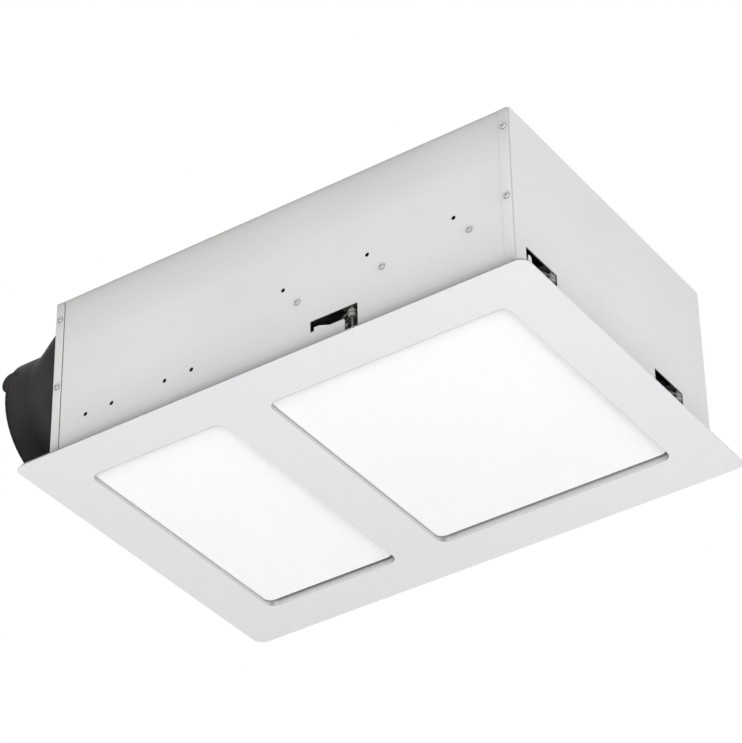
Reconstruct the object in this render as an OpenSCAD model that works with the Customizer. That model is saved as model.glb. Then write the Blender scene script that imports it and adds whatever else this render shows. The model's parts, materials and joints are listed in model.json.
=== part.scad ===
// Bathroom heater fan for a ceiling: a sheet steel housing with a duct fan, a quartz
// tube heater and a lamp panel behind one white fascia.
// The origin is the middle of the four ceiling screws, on the top face of the housing's
// bottom flange. Z points up into the roof space, X runs along the fascia's long side and
// the duct leaves towards -X.

/* [Housing] */

// Housing length along X
box_x = 552; // [500:1:620]
// Housing width along Y
box_y = 370; // [350:1:400]
// Housing height above the ceiling's underside
box_h = 205; // [195:1:230]
// Sheet thickness of the housing
sheet = 1; // [0.8:0.1:1.2]
// Width of the flange that meets the ceiling
flange = 12; // [10:1:16]
// Width of the strips where the end plates wrap the long walls
strip = 12; // [10:1:16]
// Radius of the four ceiling screw holes
ceiling_hole_r = 2.25; // [2:0.05:3]
// Distance from the middle to a ceiling screw along X
ceiling_hole_x = 250; // [200:1:255]
// Radius of the open punched holes in the long walls
punch_r = 2; // [1.5:0.1:2.5]
// Distance between neighbouring holes in a row
hole_pitch = 99; // [90:0.5:105]
// Where the bulkhead between the fan and the heater stands
bulkhead_x = -55; // [-57:0.5:-50]

/* [Fascia] */

// Fascia length
face_x = 600; // [590:1:680]
// Fascia width
face_y = 420; // [410:1:470]
// Fascia corner radius
face_r = 12; // [8:1:20]
// How far the fascia's face stands below the ceiling
face_drop = 4; // [4:0.1:6]
// Fascia plate thickness
face_t = 1.2; // [1:0.1:1.5]
// Half the width of both openings along Y
open_y = 155.3; // [140:0.1:156]
// Corner radius of the openings
open_r = 11; // [8:1:14]
// Heater opening, side next to the lamp
heat_x0 = -28.2; // [-32:0.1:-20]
// Heater opening, far side
heat_x1 = 245.6; // [235:0.1:250]
// Lamp opening, far side
lamp_x0 = -245.6; // [-250:0.1:-235]
// Lamp opening, side next to the heater
lamp_x1 = -82.8; // [-90:0.1:-78]
// Height of the turned-up edge round each opening, above the ceiling
lip_z = 9; // [7:0.5:10]
// Air gap along the two Y sides of each panel
air_gap = 7; // [5:0.5:10]
// Gap along the X sides of each panel
side_gap = 0.5; // [0.3:0.1:1]
// Height of the panels' lower faces above the ceiling
panel_z = 1.6; // [0:0.1:3]
// Heater glass thickness
glass_t = 4; // [3:0.5:5]
// Lamp diffuser thickness
diffuser_t = 3; // [2:0.5:4]
// How far the fascia hangs down on its springs for service
fascia_travel = 45; // [30:1:48]

/* [Duct] */

// Outer radius of the duct spigot
duct_r = 73.5; // [60:0.5:74]
// Wall thickness of the duct adapter
duct_wall = 2; // [1.6:0.1:2.4]
// How far the spigot's mouth stands out from the end plate
duct_out = 71; // [60:1:90]
// Length of the spigot's straight part
duct_straight = 29.7; // [20:0.1:40]
// Half the side of the adapter's square foot
foot_half = 80; // [78:0.5:80]
// Corner radius of the adapter's foot
foot_r = 50; // [40:1:60]
// Height of the flap's pin above the duct's axis
pin_up = 20; // [15:1:30]
// Radius of the flap's pin
pin_r = 1.5; // [1:0.1:2]
// Radial gap between the closed flap and the spigot's bore
flap_gap = 1.5; // [1:0.1:3]

/* [Fan] */

// Impeller radius
wheel_r = 70; // [60:0.5:72]
// Number of impeller blades
blades = 32; // [24:1:40]
// Side of the square that the scroll's arc centres stand on
spiral = 22; // [16:1:22]
// Radius of the scroll's first arc
scroll_r = 88; // [86:0.5:88]
// Sheet thickness of the scroll
scroll_t = 1.2; // [0.8:0.1:1.5]
// Radius of the fan's inlet throat
inlet_r = 54; // [45:0.5:54]
// Motor shaft radius
shaft_r = 4; // [3:0.1:5]
// Motor case radius
motor_r = 42; // [38:0.5:46]

/* [Heater] */

// Half the distance between the two quartz tubes
tube_half = 50; // [42:1:52]
// Outer radius of a quartz tube
tube_r = 6; // [5:0.1:7]
// Height of the tubes' axes
tube_z = 45; // [42:0.5:50]
// Half the length of the reflector along Y
reflector_y = 150; // [140:1:150]

/* [Clamps] */

// Width of a clamp window
window_w = 55; // [54.5:0.1:57]
// Height of a window's top edge
window_top = 47; // [46:0.1:48]
// Height of a window's flat floor
window_floor = 33.8; // [33:0.1:34.4]
// Depth of a clamp's pivot behind the wall's outer face
pivot_in = 2.5; // [2:0.1:3]
// Radius of a clamp screw
clamp_screw_r = 2; // [1.8:0.1:2.2]
// How far a clamp nut runs down its screw
clamp_travel = 25; // [15:1:26]
// Reach of a clamp arm from its pivot
arm_reach = 46.5; // [44:0.1:46.6]
// Angle by which a stored arm points inwards from the wall
arm_tuck = 24; // [22:1:28]

/* [Hidden] */

// fineness of true circles
$fn = 64;
// running clearance of a shaft in a hole, on the radius
run = 0.05;
// clearance between parts that pass each other
pass = 0.3;
// a small overshoot that makes cuts clean
eps = 0.5;

half_x = box_x / 2;
half_y = box_y / 2;
in_x = half_x - sheet;
wall_y = half_y - sheet;
in_y = wall_y - sheet;
roof_z = box_h - sheet;
ceiling_hole_y = half_y + flange / 2;

// fixings in the long walls
tray_mid = 127.5;
tray_screw_z = 77;
tray_hole_z = 98.6;
tray_hole_dx = -17;
low_hole_z = 49.7;
low_hole_x = -164.7;
low_hole_pair = 33;
strip_screw_zs = [98, roof_z - 21.5];
strip_screw_x = half_x - 6.5;
screw_r = 1.9;
screw_hole_r = 2;
screw_head_r = 3.4;
screw_head_h = 1.9;
screw_len = 7;

// clamp geometry; every clamp is drawn at the front wall and turned into place
window_right = 7.6;
window_left = window_right - window_w;
slot_w = 15;
notch_w = 4.3;
notch_z = window_floor + 0.2;
sill_z = 38.4;
sill_end = 10;
ramp_end = 23;
window_bend = 2;
front_clamp = 91.2;
near_clamp = -118.1;
far_clamp = 121;
left_clamp = -118;
// for each clamp: turn about Z, place along its wall, distance of its pivot from the middle
CLAMPS = [
  [0, front_clamp, wall_y - pivot_in],
  [180, front_clamp, wall_y - pivot_in],
  [90, near_clamp, half_x - pivot_in],
  [90, far_clamp, half_x - pivot_in],
  [270, left_clamp, half_x - pivot_in]
];
bracket_low = 3;
bracket_t = 1.5;
bracket_half = 11.5;
bracket_deep = 15;
bracket_top = window_top + 0.5;
// thin upper end of a clamp screw, between the wall's inner face and the pivot
screw_tip_r = pivot_in - sheet - pass;
nut_low = 34;
nut_half = 4;
nut_top = 38.2;
neck_r = 3;
arm_low = nut_top + pass;
arm_t = 3;
arm_half = 3.5;
arm_boss_r = 4.5;
rib_low = 35;
rib_end = 25;
hook_t = 1.6;
tail_half = 1.5;
driver_hole_r = 4.5;

// duct adapter and flap
duct_y = -(half_y - foot_half - 3);
duct_z = box_h - foot_half - 2.5;
mouth_x = -half_x - duct_out;
bore_r = duct_r - duct_wall;
flap_r = bore_r - flap_gap;
flap_t = 2;
pin_x = mouth_x + 3.5;
pin_z = duct_z + pin_up;
ear_r = 12;
ear_t = 2.8;
ear_y = sqrt(bore_r * bore_r - pin_up * pin_up) - 2.35;
// half the pin's length, so that its ends stay clear of the spigot's wall
pin_half = sqrt(bore_r * bore_r - (pin_up + pin_r) * (pin_up + pin_r)) - pass;
rib_gap = 0.42 * bore_r;
rib_down = 0.63 * bore_r;
sleeve_r = 3.4;
// the flap is cut short here, inside the two ears
flap_flat = ear_y - 0.8;
foot_t = 3;
boss_diag = 62.4;
boss_r = 4.4;
boss_len = 14;
port_half = 72.7;
port_r = 45;
collar_gap = pass;
collar_t = 2.2;
collar_deep = 8;

// fan
fan_x = -in_x + 95;
fan_y = duct_y + 70;
scroll_low = 47;
foot_gap = 6;
scroll_high = roof_z - foot_gap;
base_top = scroll_low + scroll_t;
lid_low = scroll_high - scroll_t;
s2 = spiral / 2;
r_a = scroll_r;
r_b = r_a + spiral;
r_c = r_b + spiral;
nose_r = 8;
outlet_near = -s2 - r_c;
outlet_far = s2 - nose_r;
// how far the scroll's floor and lid reach past its wall, kept clear of the bulkhead
rim = max(scroll_t, min(6, bulkhead_x - pass - fan_x - s2 - r_b));
start_x = s2 - r_a;
plate_x = -in_x - fan_x;
wheel_low = 58;
wheel_high = 129;
ring_t = 2;
blade_in = wheel_r - 13;
hub_r = 9;
hub_low = 108;
bell_r = 8;
throat_top = wheel_low + 3;
motor_low = wheel_high + 7;
motor_high = scroll_high - 6;
stator_low = motor_low + 14;
stator_high = motor_high - 16;
rotor_r = 20;
bush_r = 8;
case_t = 2;
hang_r = 48;
shaft_low = hub_low - 9;
shaft_high = motor_high - 2;
// wire hole in the scroll's lid, from the fan's axis along X and Y
lid_hole = 30;
lid_hole_r = 5;
nut_flat = 13;

// heater
shield_z = 86;
shield_x0 = tray_mid - 117.5;
shield_x1 = tray_mid + 117.5;
tab_h = 20;
refl_low = 22;
refl_top = 71;
refl_slope = 20;
tube_wall = 1;
holder_half = 10;
holder_len = 12;
tube_len = 2 * (reflector_y + holder_len - 4);
coil_half = reflector_y - 10;
cap_t = 3;
post_r = 4;
coil_r = 3;

// fascia parts
plate_low = -face_drop;
plate_top = plate_low + face_t;
panel_half = open_y - air_gap;
rail_w = 14;
rail_half = 135;
gasket_h = 1;
lamp_in = 6;
tray_half = panel_half - 5;
tray_top = 20;
led_t = 1.6;
chip = 3;
spring_y = in_y - 13;
// place of each fascia spring: x, and side along Y
SPRINGS = [[-100, -1], [190, -1], [100, 1], [-190, 1]];
wire_r = 0.9;
coil_out = 5.4;
coil_in = 3.1;
peg_r = 2.8;
peg_z = 8;
slot_z = 18.8;
slot_half = 24;
shelf_t = 1.2;
leg_lean = 17;
leg_len = (slot_z + shelf_t + fascia_travel + 2.3 - peg_z) / cos(leg_lean);

// electrical parts
wbox_y0 = -12;
wbox_y1 = 98;
wbox_z0 = 91;
wbox_z1 = 161;
wbox_deep = 38;
wbox_t = 1.5;
gland_r = 5.5;
gland_y = 20;
gland_low = wbox_z1 - wbox_t - 7;
gland_high = wbox_z1 + 16;
block_x = -half_x - wbox_t;
block_y = 28;
block_z = 115;
block_deep = 16;
block_h = 22;
block_pitch = 10;
driver_len = 120;
driver_x = -240;
driver_y = 110;
driver_w = 40;
driver_h = 24;
cap_r = 14;
cap_len = 52;
cap_x = -170;
cap_z = roof_z - 54;
clip_in = 20;
clip_w = 12;

// A box given by its two opposite corners.
module span(a, b) translate(a) cube(b - a);

// A cylinder along Y, from y0 to y1, centred on x and z.
module rod_y(x, z, r, y0, y1) translate([x, y1, z]) rotate([90, 0, 0]) cylinder(r = r, h = y1 - y0);

// A cylinder along X, from x0 to x1, centred on y and z.
module rod_x(x0, x1, y, z, r) translate([x0, y, z]) rotate([0, 90, 0]) cylinder(r = r, h = x1 - x0);

// A flat shape in X and Z, given thickness t along Y, with its near face at y.
module upright(y, t) translate([0, y + t, 0]) rotate([90, 0, 0]) linear_extrude(t) children();

// A plate with rounded corners between x0 and x1, half width hy, from z0 to z1.
module round_plate(x0, x1, hy, r, z0, z1) {
  span([x0 + r, -hy, z0], [x1 - r, hy, z1]);
  span([x0, -hy + r, z0], [x1, hy - r, z1]);
  for (x = [x0 + r, x1 - r], y = [-hy + r, hy - r])
    translate([x, y, z0]) cylinder(r = r, h = z1 - z0);
}

// Copies a clamp piece from the front wall's frame to clamp i's place.
module at_clamp(i) rotate([0, 0, CLAMPS[i][0]]) translate([CLAMPS[i][1], -CLAMPS[i][2], 0]) children();

// Window of a clamp seen from outside, measured from its pivot: a wide part for the arm's
// swing, a deep slot on the right for the arm's travel and a notch for its stored tip.
module window_shape()
  polygon([
    [window_left, window_top], [window_right, window_top], [window_right, 0],
    [window_right - slot_w, 0], [window_right - slot_w, window_floor - window_bend],
    [window_right - slot_w - window_bend, window_floor],
    [window_left + ramp_end, window_floor], [window_left + sill_end, sill_z],
    [window_left + notch_w, sill_z], [window_left + notch_w, notch_z],
    [window_left, notch_z]
  ]);

// A long wall in the front wall's frame. side is 1 for the front and -1 for the back, whose
// tray fixings come out mirrored when it is turned round.
module long_wall(side) {
  difference() {
    union() {
      span([-in_x, -wall_y, -sheet], [in_x, -in_y, roof_z]);
      span([-half_x + strip + pass, -half_y - flange, -sheet], [half_x - strip - pass, -in_y, 0]);
    }
    translate([front_clamp, 0, 0]) upright(-wall_y - eps, sheet + 2 * eps) window_shape();
    translate([front_clamp, -wall_y + pivot_in, -sheet - eps])
      cylinder(r = driver_hole_r, h = sheet + 2 * eps);
    for (k = [-1, 0, 1]) {
      rod_y(side * (tray_mid + k * hole_pitch), tray_screw_z, screw_hole_r, -wall_y - eps, -in_y + eps);
      rod_y(side * (tray_mid + tray_hole_dx + k * hole_pitch) + 0.2, tray_hole_z, punch_r,
        -wall_y - eps, -in_y + eps);
    }
    for (k = [-1, 1], m = [-1, 1])
      rod_y(low_hole_x + k * hole_pitch / 2 + m * low_hole_pair / 2, low_hole_z, punch_r,
        -wall_y - eps, -in_y + eps);
    for (x = [-strip_screw_x, strip_screw_x], z = strip_screw_zs)
      rod_y(x, z, screw_hole_r, -wall_y - eps, -in_y + eps);
    for (x = [-ceiling_hole_x, ceiling_hole_x])
      translate([x, -ceiling_hole_y, -sheet - eps]) cylinder(r = ceiling_hole_r, h = sheet + 2 * eps);
  }
}

// An end plate in the front wall's frame, with a window for each pivot place in list.
module end_wall(places) {
  difference() {
    union() {
      span([-wall_y, -half_x, -sheet], [wall_y, -in_x, roof_z]);
      span([-wall_y, -half_x - flange, -sheet], [wall_y, -in_x, 0]);
      for (s = [-1, 1])
        span([min(s * wall_y, s * half_y), -half_x, 0],
          [max(s * wall_y, s * half_y), -half_x + strip, roof_z]);
    }
    for (p = places) {
      translate([p, 0, 0]) upright(-half_x - eps, sheet + 2 * eps) window_shape();
      translate([p, -half_x + pivot_in, -sheet - eps])
        cylinder(r = driver_hole_r, h = sheet + 2 * eps);
    }
  }
}

// Holes for the strips' screws, through both strips of an end plate at x.
module strip_holes(x)
  for (z = strip_screw_zs)
    rod_y(x, z, screw_hole_r, -half_y - eps, half_y + eps);

module front_wall() color([0.86, 0.86, 0.85]) long_wall(1);

module back_wall() color([0.86, 0.86, 0.85]) rotate([0, 0, 180]) long_wall(-1);

// Right-hand end plate, with two clamp windows.
module right_end_plate() color([0.87, 0.87, 0.87])
  difference() {
    rotate([0, 0, 90]) end_wall([near_clamp, far_clamp]);
    strip_holes(strip_screw_x);
  }

// The opening for the duct: a square with round corners along X.
module port(half, r, x0, x1) translate([x0, duct_y, duct_z]) rotate([90, 0, 90]) linear_extrude(x1 - x0) {
  square([2 * half, 2 * (half - r)], center = true);
  square([2 * (half - r), 2 * half], center = true);
  for (a = [-1, 1], b = [-1, 1]) translate([a * (half - r), b * (half - r)]) circle(r = r);
}

// Left-hand end plate, with the duct opening, one clamp window and the cable opening.
module left_end_plate() color([0.85, 0.85, 0.85])
  difference() {
    rotate([0, 0, 270]) end_wall([left_clamp]);
    strip_holes(-strip_screw_x);
    port(port_half, port_r, -half_x - eps, -in_x + eps);
    for (a = [-1, 1], b = [-1, 1])
      rod_x(-half_x - eps, -in_x + eps, duct_y + a * boss_diag, duct_z + b * boss_diag, screw_hole_r);
    rod_x(-half_x - eps, -in_x + eps, (wbox_y0 + wbox_y1) / 2, (wbox_z0 + wbox_z1) / 2, 14);
    for (y = [wbox_y0 + 8, wbox_y1 - 8])
      rod_x(-half_x - eps, -in_x + eps, y, wbox_z1 - 8, screw_hole_r);
  }

// Roof of the housing, with its edges turned down inside the long walls.
module top_plate() color([0.84, 0.84, 0.84]) {
  span([-half_x, -wall_y, roof_z], [half_x, wall_y, box_h]);
  for (s = [-1, 1])
    span([-in_x + 20, min(s * in_y, s * (in_y - sheet)), roof_z - 8],
      [in_x - 20, max(s * in_y, s * (in_y - sheet)), roof_z]);
}

// Wall between the fan and the heater, with turned edges at its top and sides. A corner is
// cut away where the back clamp's arm swings.
module bulkhead() color([0.72, 0.73, 0.73]) {
  difference() {
    span([bulkhead_x, -in_y, 3], [bulkhead_x + sheet, in_y, roof_z]);
    rod_x(bulkhead_x - eps, bulkhead_x + sheet + eps, 120, 180, 9);
    span([bulkhead_x - eps, in_y - 33, 3 - eps], [bulkhead_x + sheet + eps, in_y + eps, window_top + 4]);
    for (s = [-1, 1])
      span([bulkhead_x - eps, min(s * in_y, s * (in_y - 2)), roof_z - 9],
        [bulkhead_x + sheet + eps, max(s * in_y, s * (in_y - 2)), roof_z + eps]);
  }
  span([bulkhead_x, -in_y + 12, roof_z - sheet], [bulkhead_x + 11, in_y - 12, roof_z]);
  for (s = [-1, 1])
    span([bulkhead_x, min(s * in_y, s * (in_y - sheet)), window_top + 4],
      [bulkhead_x + 11, max(s * in_y, s * (in_y - sheet)), roof_z - 20]);
}

// A pan head screw that points along -Y from the plane y = 0.
module pan_screw(len) {
  rotate([90, 0, 0]) cylinder(r = screw_head_r, h = screw_head_h - 0.7);
  translate([0, -screw_head_h + 0.7, 0]) rotate([90, 0, 0])
    cylinder(r1 = screw_head_r, r2 = screw_head_r - 1.1, h = 0.7);
  rotate([-90, 0, 0]) cylinder(r = screw_r, h = len);
}

// The identical pan head screws: two in each end strip, three in each long wall for the
// heater's shield, four for the duct adapter, four for the motor and four at the wiring box.
module pan_screws() color([0.75, 0.75, 0.76]) {
  for (x = [-strip_screw_x, strip_screw_x], z = strip_screw_zs, turn = [0, 180])
    rotate([0, 0, turn]) translate([x, -half_y, z]) pan_screw(screw_len);
  for (k = [-1, 0, 1]) {
    translate([tray_mid + k * hole_pitch, -wall_y, tray_screw_z]) pan_screw(screw_len);
    translate([tray_mid + k * hole_pitch, wall_y, tray_screw_z]) rotate([0, 0, 180]) pan_screw(screw_len);
  }
  for (a = [-1, 1], b = [-1, 1])
    translate([-in_x, duct_y + a * boss_diag, duct_z + b * boss_diag])
      rotate([0, 0, 90]) pan_screw(screw_len);
  for (a = [45:90:315]) translate([fan_x, fan_y, 0]) rotate([0, 0, a])
    translate([hang_r, 0, scroll_high]) rotate([-90, 0, 0]) pan_screw(screw_len);
  for (y = [wbox_y0 + 8, wbox_y1 - 8])
    translate([-in_x, y, wbox_z1 - 8]) rotate([0, 0, 90]) pan_screw(screw_len);
  for (y = [wbox_y0 + 12, wbox_y1 - 12])
    translate([-half_x - wbox_deep - sheet, y, (wbox_z0 + wbox_z1) / 2]) rotate([0, 0, -90])
      pan_screw(screw_len);
}

// A thin slab for the adapter's outline: square foot with round corners.
module foot_slab(half, r, x) port(half, r, x, x + 0.02);

// Body between the square foot and the round spigot, grown inwards by skin.
module adapter_skin(skin) hull() {
  foot_slab(foot_half - skin, foot_r - skin, -half_x - foot_t, $fn = 32);
  rod_x(mouth_x + duct_straight - 0.02, mouth_x + duct_straight, duct_y, duct_z, duct_r - skin, $fn = 96);
}

// Black plastic adapter: a square foot, a tapering body and a round spigot with two ears.
module duct_adapter() color([0.16, 0.16, 0.17]) {
  difference() {
    union() {
      port(foot_half, foot_r, -half_x - foot_t, -half_x);
      adapter_skin(0);
      rod_x(mouth_x, mouth_x + duct_straight, duct_y, duct_z, duct_r);
    }
    port(port_half - collar_gap - collar_t, port_r - collar_gap - collar_t,
      -half_x - foot_t - eps, -half_x + eps);
    difference() {
      adapter_skin(duct_wall + 0.4);
      for (a = [-1, 1], b = [-1, 1])
        rod_x(-half_x - boss_len, -half_x, duct_y + a * boss_diag, duct_z + b * boss_diag, boss_r);
    }
    rod_x(mouth_x - eps, mouth_x + duct_straight + eps, duct_y, duct_z, bore_r);
    for (a = [-1, 1], b = [-1, 1])
      rod_x(-half_x - screw_len - 1, -half_x + eps, duct_y + a * boss_diag, duct_z + b * boss_diag, screw_hole_r);
  }
  difference() {
    port(port_half - collar_gap, port_r - collar_gap, -half_x - eps, -half_x + collar_deep);
    port(port_half - collar_gap - collar_t, port_r - collar_gap - collar_t,
      -half_x - 2 * eps, -half_x + collar_deep + eps);
    for (a = [-1, 1], b = [-1, 1])
      rod_x(-half_x, -half_x + collar_deep + eps, duct_y + a * boss_diag, duct_z + b * boss_diag, 6);
  }
  intersection() {
    difference() {
      for (s = [-1, 1])
        rod_y(pin_x, pin_z, ear_r, min(s * ear_y, s * (ear_y + ear_t)) + duct_y,
          max(s * ear_y, s * (ear_y + ear_t)) + duct_y);
      rod_y(pin_x, pin_z, pin_r + run, duct_y - duct_r, duct_y + duct_r);
    }
    rod_x(mouth_x - 2 * ear_r, mouth_x + duct_straight, duct_y, duct_z, duct_r - 0.7);
  }
  difference() {
    span([pin_x + flap_t / 2 + pass, duct_y - 5, duct_z - bore_r - 1],
      [pin_x + flap_t / 2 + 5, duct_y + 5, duct_z - flap_r + 5]);
    rod_x(mouth_x, mouth_x + duct_straight, duct_y, duct_z, flap_r - 4);
  }
}

// Pin of the flap, held in the adapter's ears.
module damper_pin() color([0.78, 0.78, 0.8])
  rod_y(pin_x, pin_z, pin_r, duct_y - pin_half, duct_y + pin_half);

// Backdraught flap: a disc with a sleeve that turns on the pin. Its weight closes it.
module damper_flap() color([0.2, 0.2, 0.21])
  difference() {
    union() {
      rod_x(pin_x - flap_t / 2, pin_x + flap_t / 2, duct_y, duct_z, flap_r);
      rod_y(pin_x, pin_z, sleeve_r, duct_y - flap_flat, duct_y + flap_flat);
      for (k = [-1, 0, 1])
        span([pin_x - flap_t / 2 - 2, duct_y + k * rib_gap - 0.8, duct_z - rib_down],
          [pin_x, duct_y + k * rib_gap + 0.8, pin_z]);
    }
    for (s = [-1, 1])
      span([pin_x - 8, duct_y + min(s * flap_flat, s * duct_r), pin_z - ear_r - 3],
        [pin_x + 8, duct_y + max(s * flap_flat, s * duct_r), pin_z + ear_r + 3]);
    rod_y(pin_x, pin_z, pin_r + run, duct_y - duct_r, duct_y + duct_r);
  }

// Steel box for the mains connection, outside the left-hand end plate.
module wiring_box() color([0.82, 0.82, 0.82]) {
  difference() {
    span([-half_x - wbox_deep, wbox_y0, wbox_z0], [-half_x, wbox_y1, wbox_z1]);
    span([-half_x - wbox_deep - eps, wbox_y0 + wbox_t, wbox_z0 + wbox_t],
      [-half_x - wbox_t, wbox_y1 - wbox_t, wbox_z1 - wbox_t]);
    rod_x(-half_x - wbox_t - eps, -half_x + eps, (wbox_y0 + wbox_y1) / 2, (wbox_z0 + wbox_z1) / 2, 14);
    for (y = [wbox_y0 + 8, wbox_y1 - 8])
      rod_x(-half_x - wbox_t - eps, -half_x + eps, y, wbox_z1 - 8, screw_hole_r);
    translate([-half_x - wbox_deep / 2, gland_y, wbox_z1 - wbox_t - eps])
      cylinder(r = gland_r + 3 + pass, h = wbox_t + 2 * eps);
  }
  for (y = [wbox_y0 + 12, wbox_y1 - 12]) difference() {
    rod_x(-half_x - wbox_deep, -half_x - wbox_t + eps, y, (wbox_z0 + wbox_z1) / 2, 4);
    rod_x(-half_x - wbox_deep - eps, -half_x - wbox_deep + 9, y, (wbox_z0 + wbox_z1) / 2, screw_hole_r);
  }
}

// Lid of the wiring box, with edges that wrap over its top and bottom.
module wiring_cover() color([0.8, 0.8, 0.8]) {
  x0 = -half_x - wbox_deep - sheet;
  difference() {
    span([x0, wbox_y0, wbox_z0 - sheet - pass], [x0 + sheet, wbox_y1, wbox_z1 + sheet + pass]);
    for (y = [wbox_y0 + 12, wbox_y1 - 12])
      rod_x(x0 - eps, x0 + sheet + eps, y, (wbox_z0 + wbox_z1) / 2, screw_hole_r);
  }
  span([x0, wbox_y0, wbox_z1 + pass], [x0 + 5, wbox_y1, wbox_z1 + sheet + pass]);
  span([x0, wbox_y0, wbox_z0 - sheet - pass], [x0 + 14, wbox_y1, wbox_z0 - pass]);
}

// Cable gland in the wiring box's top: body, collar and clamping nut with a through bore.
module cable_gland() color([0.22, 0.22, 0.23])
  translate([-half_x - wbox_deep / 2, gland_y, 0]) difference() {
    union() {
      translate([0, 0, gland_low]) cylinder(r = gland_r + 3, h = gland_high - 2 - gland_low);
      translate([0, 0, wbox_z1]) cylinder(r = gland_r + 5.5, h = 5, $fn = 6);
      translate([0, 0, gland_high - 9]) cylinder(r = gland_r + 4.8, h = 9, $fn = 8);
      translate([0, 0, wbox_z1 - wbox_t - 4]) cylinder(r = gland_r + 5.5, h = 4, $fn = 6);
    }
    translate([0, 0, gland_low - eps]) cylinder(r = gland_r, h = gland_high - gland_low + 2 * eps);
  }

// Terminal block with five ways, each with a screw well and a wire hole.
module terminal_block() color([0.93, 0.92, 0.88])
  difference() {
    span([block_x - block_deep, block_y, block_z], [block_x, block_y + 5 * block_pitch, block_z + block_h]);
    for (k = [0:4]) let (y = block_y + (k + 0.5) * block_pitch) {
      for (z = [5, block_h - 5]) rod_x(block_x - block_deep - eps, block_x - 5, y, block_z + z, 2.2);
      translate([block_x - 6, y, block_z - eps]) cylinder(r = 1.8, h = block_h + 2 * eps);
    }
    for (k = [1:4]) let (y = block_y + k * block_pitch)
      span([block_x - block_deep - eps, y - 0.6, block_z - eps],
        [block_x - 10, y + 0.6, block_z + block_h + eps]);
  }

// One quarter of a ring about c, between r0 and r1; qx and qy pick the quadrant.
module quarter(c, r0, r1, qx, qy, z0, z1) translate([c[0], c[1], z0]) intersection() {
  difference() {
    cylinder(r = r1, h = z1 - z0);
    if (r0 > 0) translate([0, 0, -eps]) cylinder(r = r0, h = z1 - z0 + 2 * eps);
  }
  span([min(0, qx * 2 * r1), min(0, qy * 2 * r1), -eps],
    [max(0, qx * 2 * r1), max(0, qy * 2 * r1), z1 - z0 + eps]);
}

// The scroll's curved wall, drawn about the fan's axis: three quarter arcs, a nose and the
// two sides of the outlet.
module scroll_wrap() color([0.74, 0.75, 0.76])
  translate([fan_x, fan_y, 0]) {
    quarter([s2, s2], r_a, r_a + scroll_t, -1, 1, base_top, lid_low);
    quarter([s2, -s2], r_b, r_b + scroll_t, 1, 1, base_top, lid_low);
    quarter([-s2, -s2], r_c, r_c + scroll_t, 1, -1, base_top, lid_low);
    span([plate_x, outlet_near - scroll_t, base_top], [-s2, outlet_near, lid_low]);
    quarter([start_x - nose_r, s2], nose_r - scroll_t, nose_r, 1, -1, base_top, lid_low);
    span([plate_x, outlet_far, base_top], [start_x - nose_r, outlet_far + scroll_t, lid_low]);
    span([plate_x, outlet_near - 6, base_top], [plate_x + scroll_t, outlet_near, lid_low]);
    span([plate_x, outlet_far, base_top], [plate_x + scroll_t, outlet_far + 8, lid_low]);
  }

// Outline of the scroll as a flat plate, larger than the wall's inside by add.
module scroll_plate(add, z0, z1) {
  quarter([s2, s2], 0, r_a + add, -1, 1, z0, z1);
  quarter([s2, -s2], 0, r_b + add, 1, 1, z0, z1);
  quarter([-s2, -s2], 0, r_c + add, 1, -1, z0, z1);
  span([start_x - add, outlet_near - add, z0], [s2, s2, z1]);
  span([plate_x, outlet_near - add, z0], [-s2, outlet_far + add, z1]);
}

// Floor of the scroll with its rounded inlet.
module scroll_base() color([0.76, 0.77, 0.78])
  translate([fan_x, fan_y, 0]) {
    difference() {
      scroll_plate(rim, scroll_low, base_top);
      translate([0, 0, scroll_low - eps]) cylinder(r = inlet_r + bell_r, h = scroll_t + 2 * eps);
    }
    rotate_extrude() {
      intersection() {
        translate([inlet_r + bell_r, scroll_low + bell_r]) difference() {
          circle(r = bell_r);
          circle(r = bell_r - scroll_t);
        }
        translate([inlet_r, scroll_low]) square([bell_r, bell_r]);
      }
      translate([inlet_r, scroll_low + bell_r]) square([scroll_t, throat_top - scroll_low - bell_r]);
    }
  }

// Lid of the scroll, which carries the motor.
module scroll_top() color([0.76, 0.77, 0.78])
  translate([fan_x, fan_y, 0]) difference() {
    scroll_plate(rim, lid_low, scroll_high);
    for (a = [45:90:315])
      translate([hang_r * cos(a), hang_r * sin(a), lid_low - eps])
        cylinder(r = screw_hole_r, h = scroll_t + 2 * eps);
    translate([lid_hole, lid_hole, lid_low - eps]) cylinder(r = lid_hole_r, h = scroll_t + 2 * eps);
  }

// Rubber feet between the scroll's lid and the housing's roof.
module scroll_feet() color([0.12, 0.12, 0.12])
  translate([fan_x, fan_y, 0])
    for (p = [[-50, 60], [60, 60], [70, -70], [-50, -120]])
      translate([p[0], p[1], scroll_high]) difference() {
        cylinder(r = 7, h = roof_z - scroll_high);
        translate([0, 0, 1.5]) difference() {
          cylinder(r = 8, h = 2.5);
          translate([0, 0, -eps]) cylinder(r = 5.5, h = 2.5 + 2 * eps);
        }
      }

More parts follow.
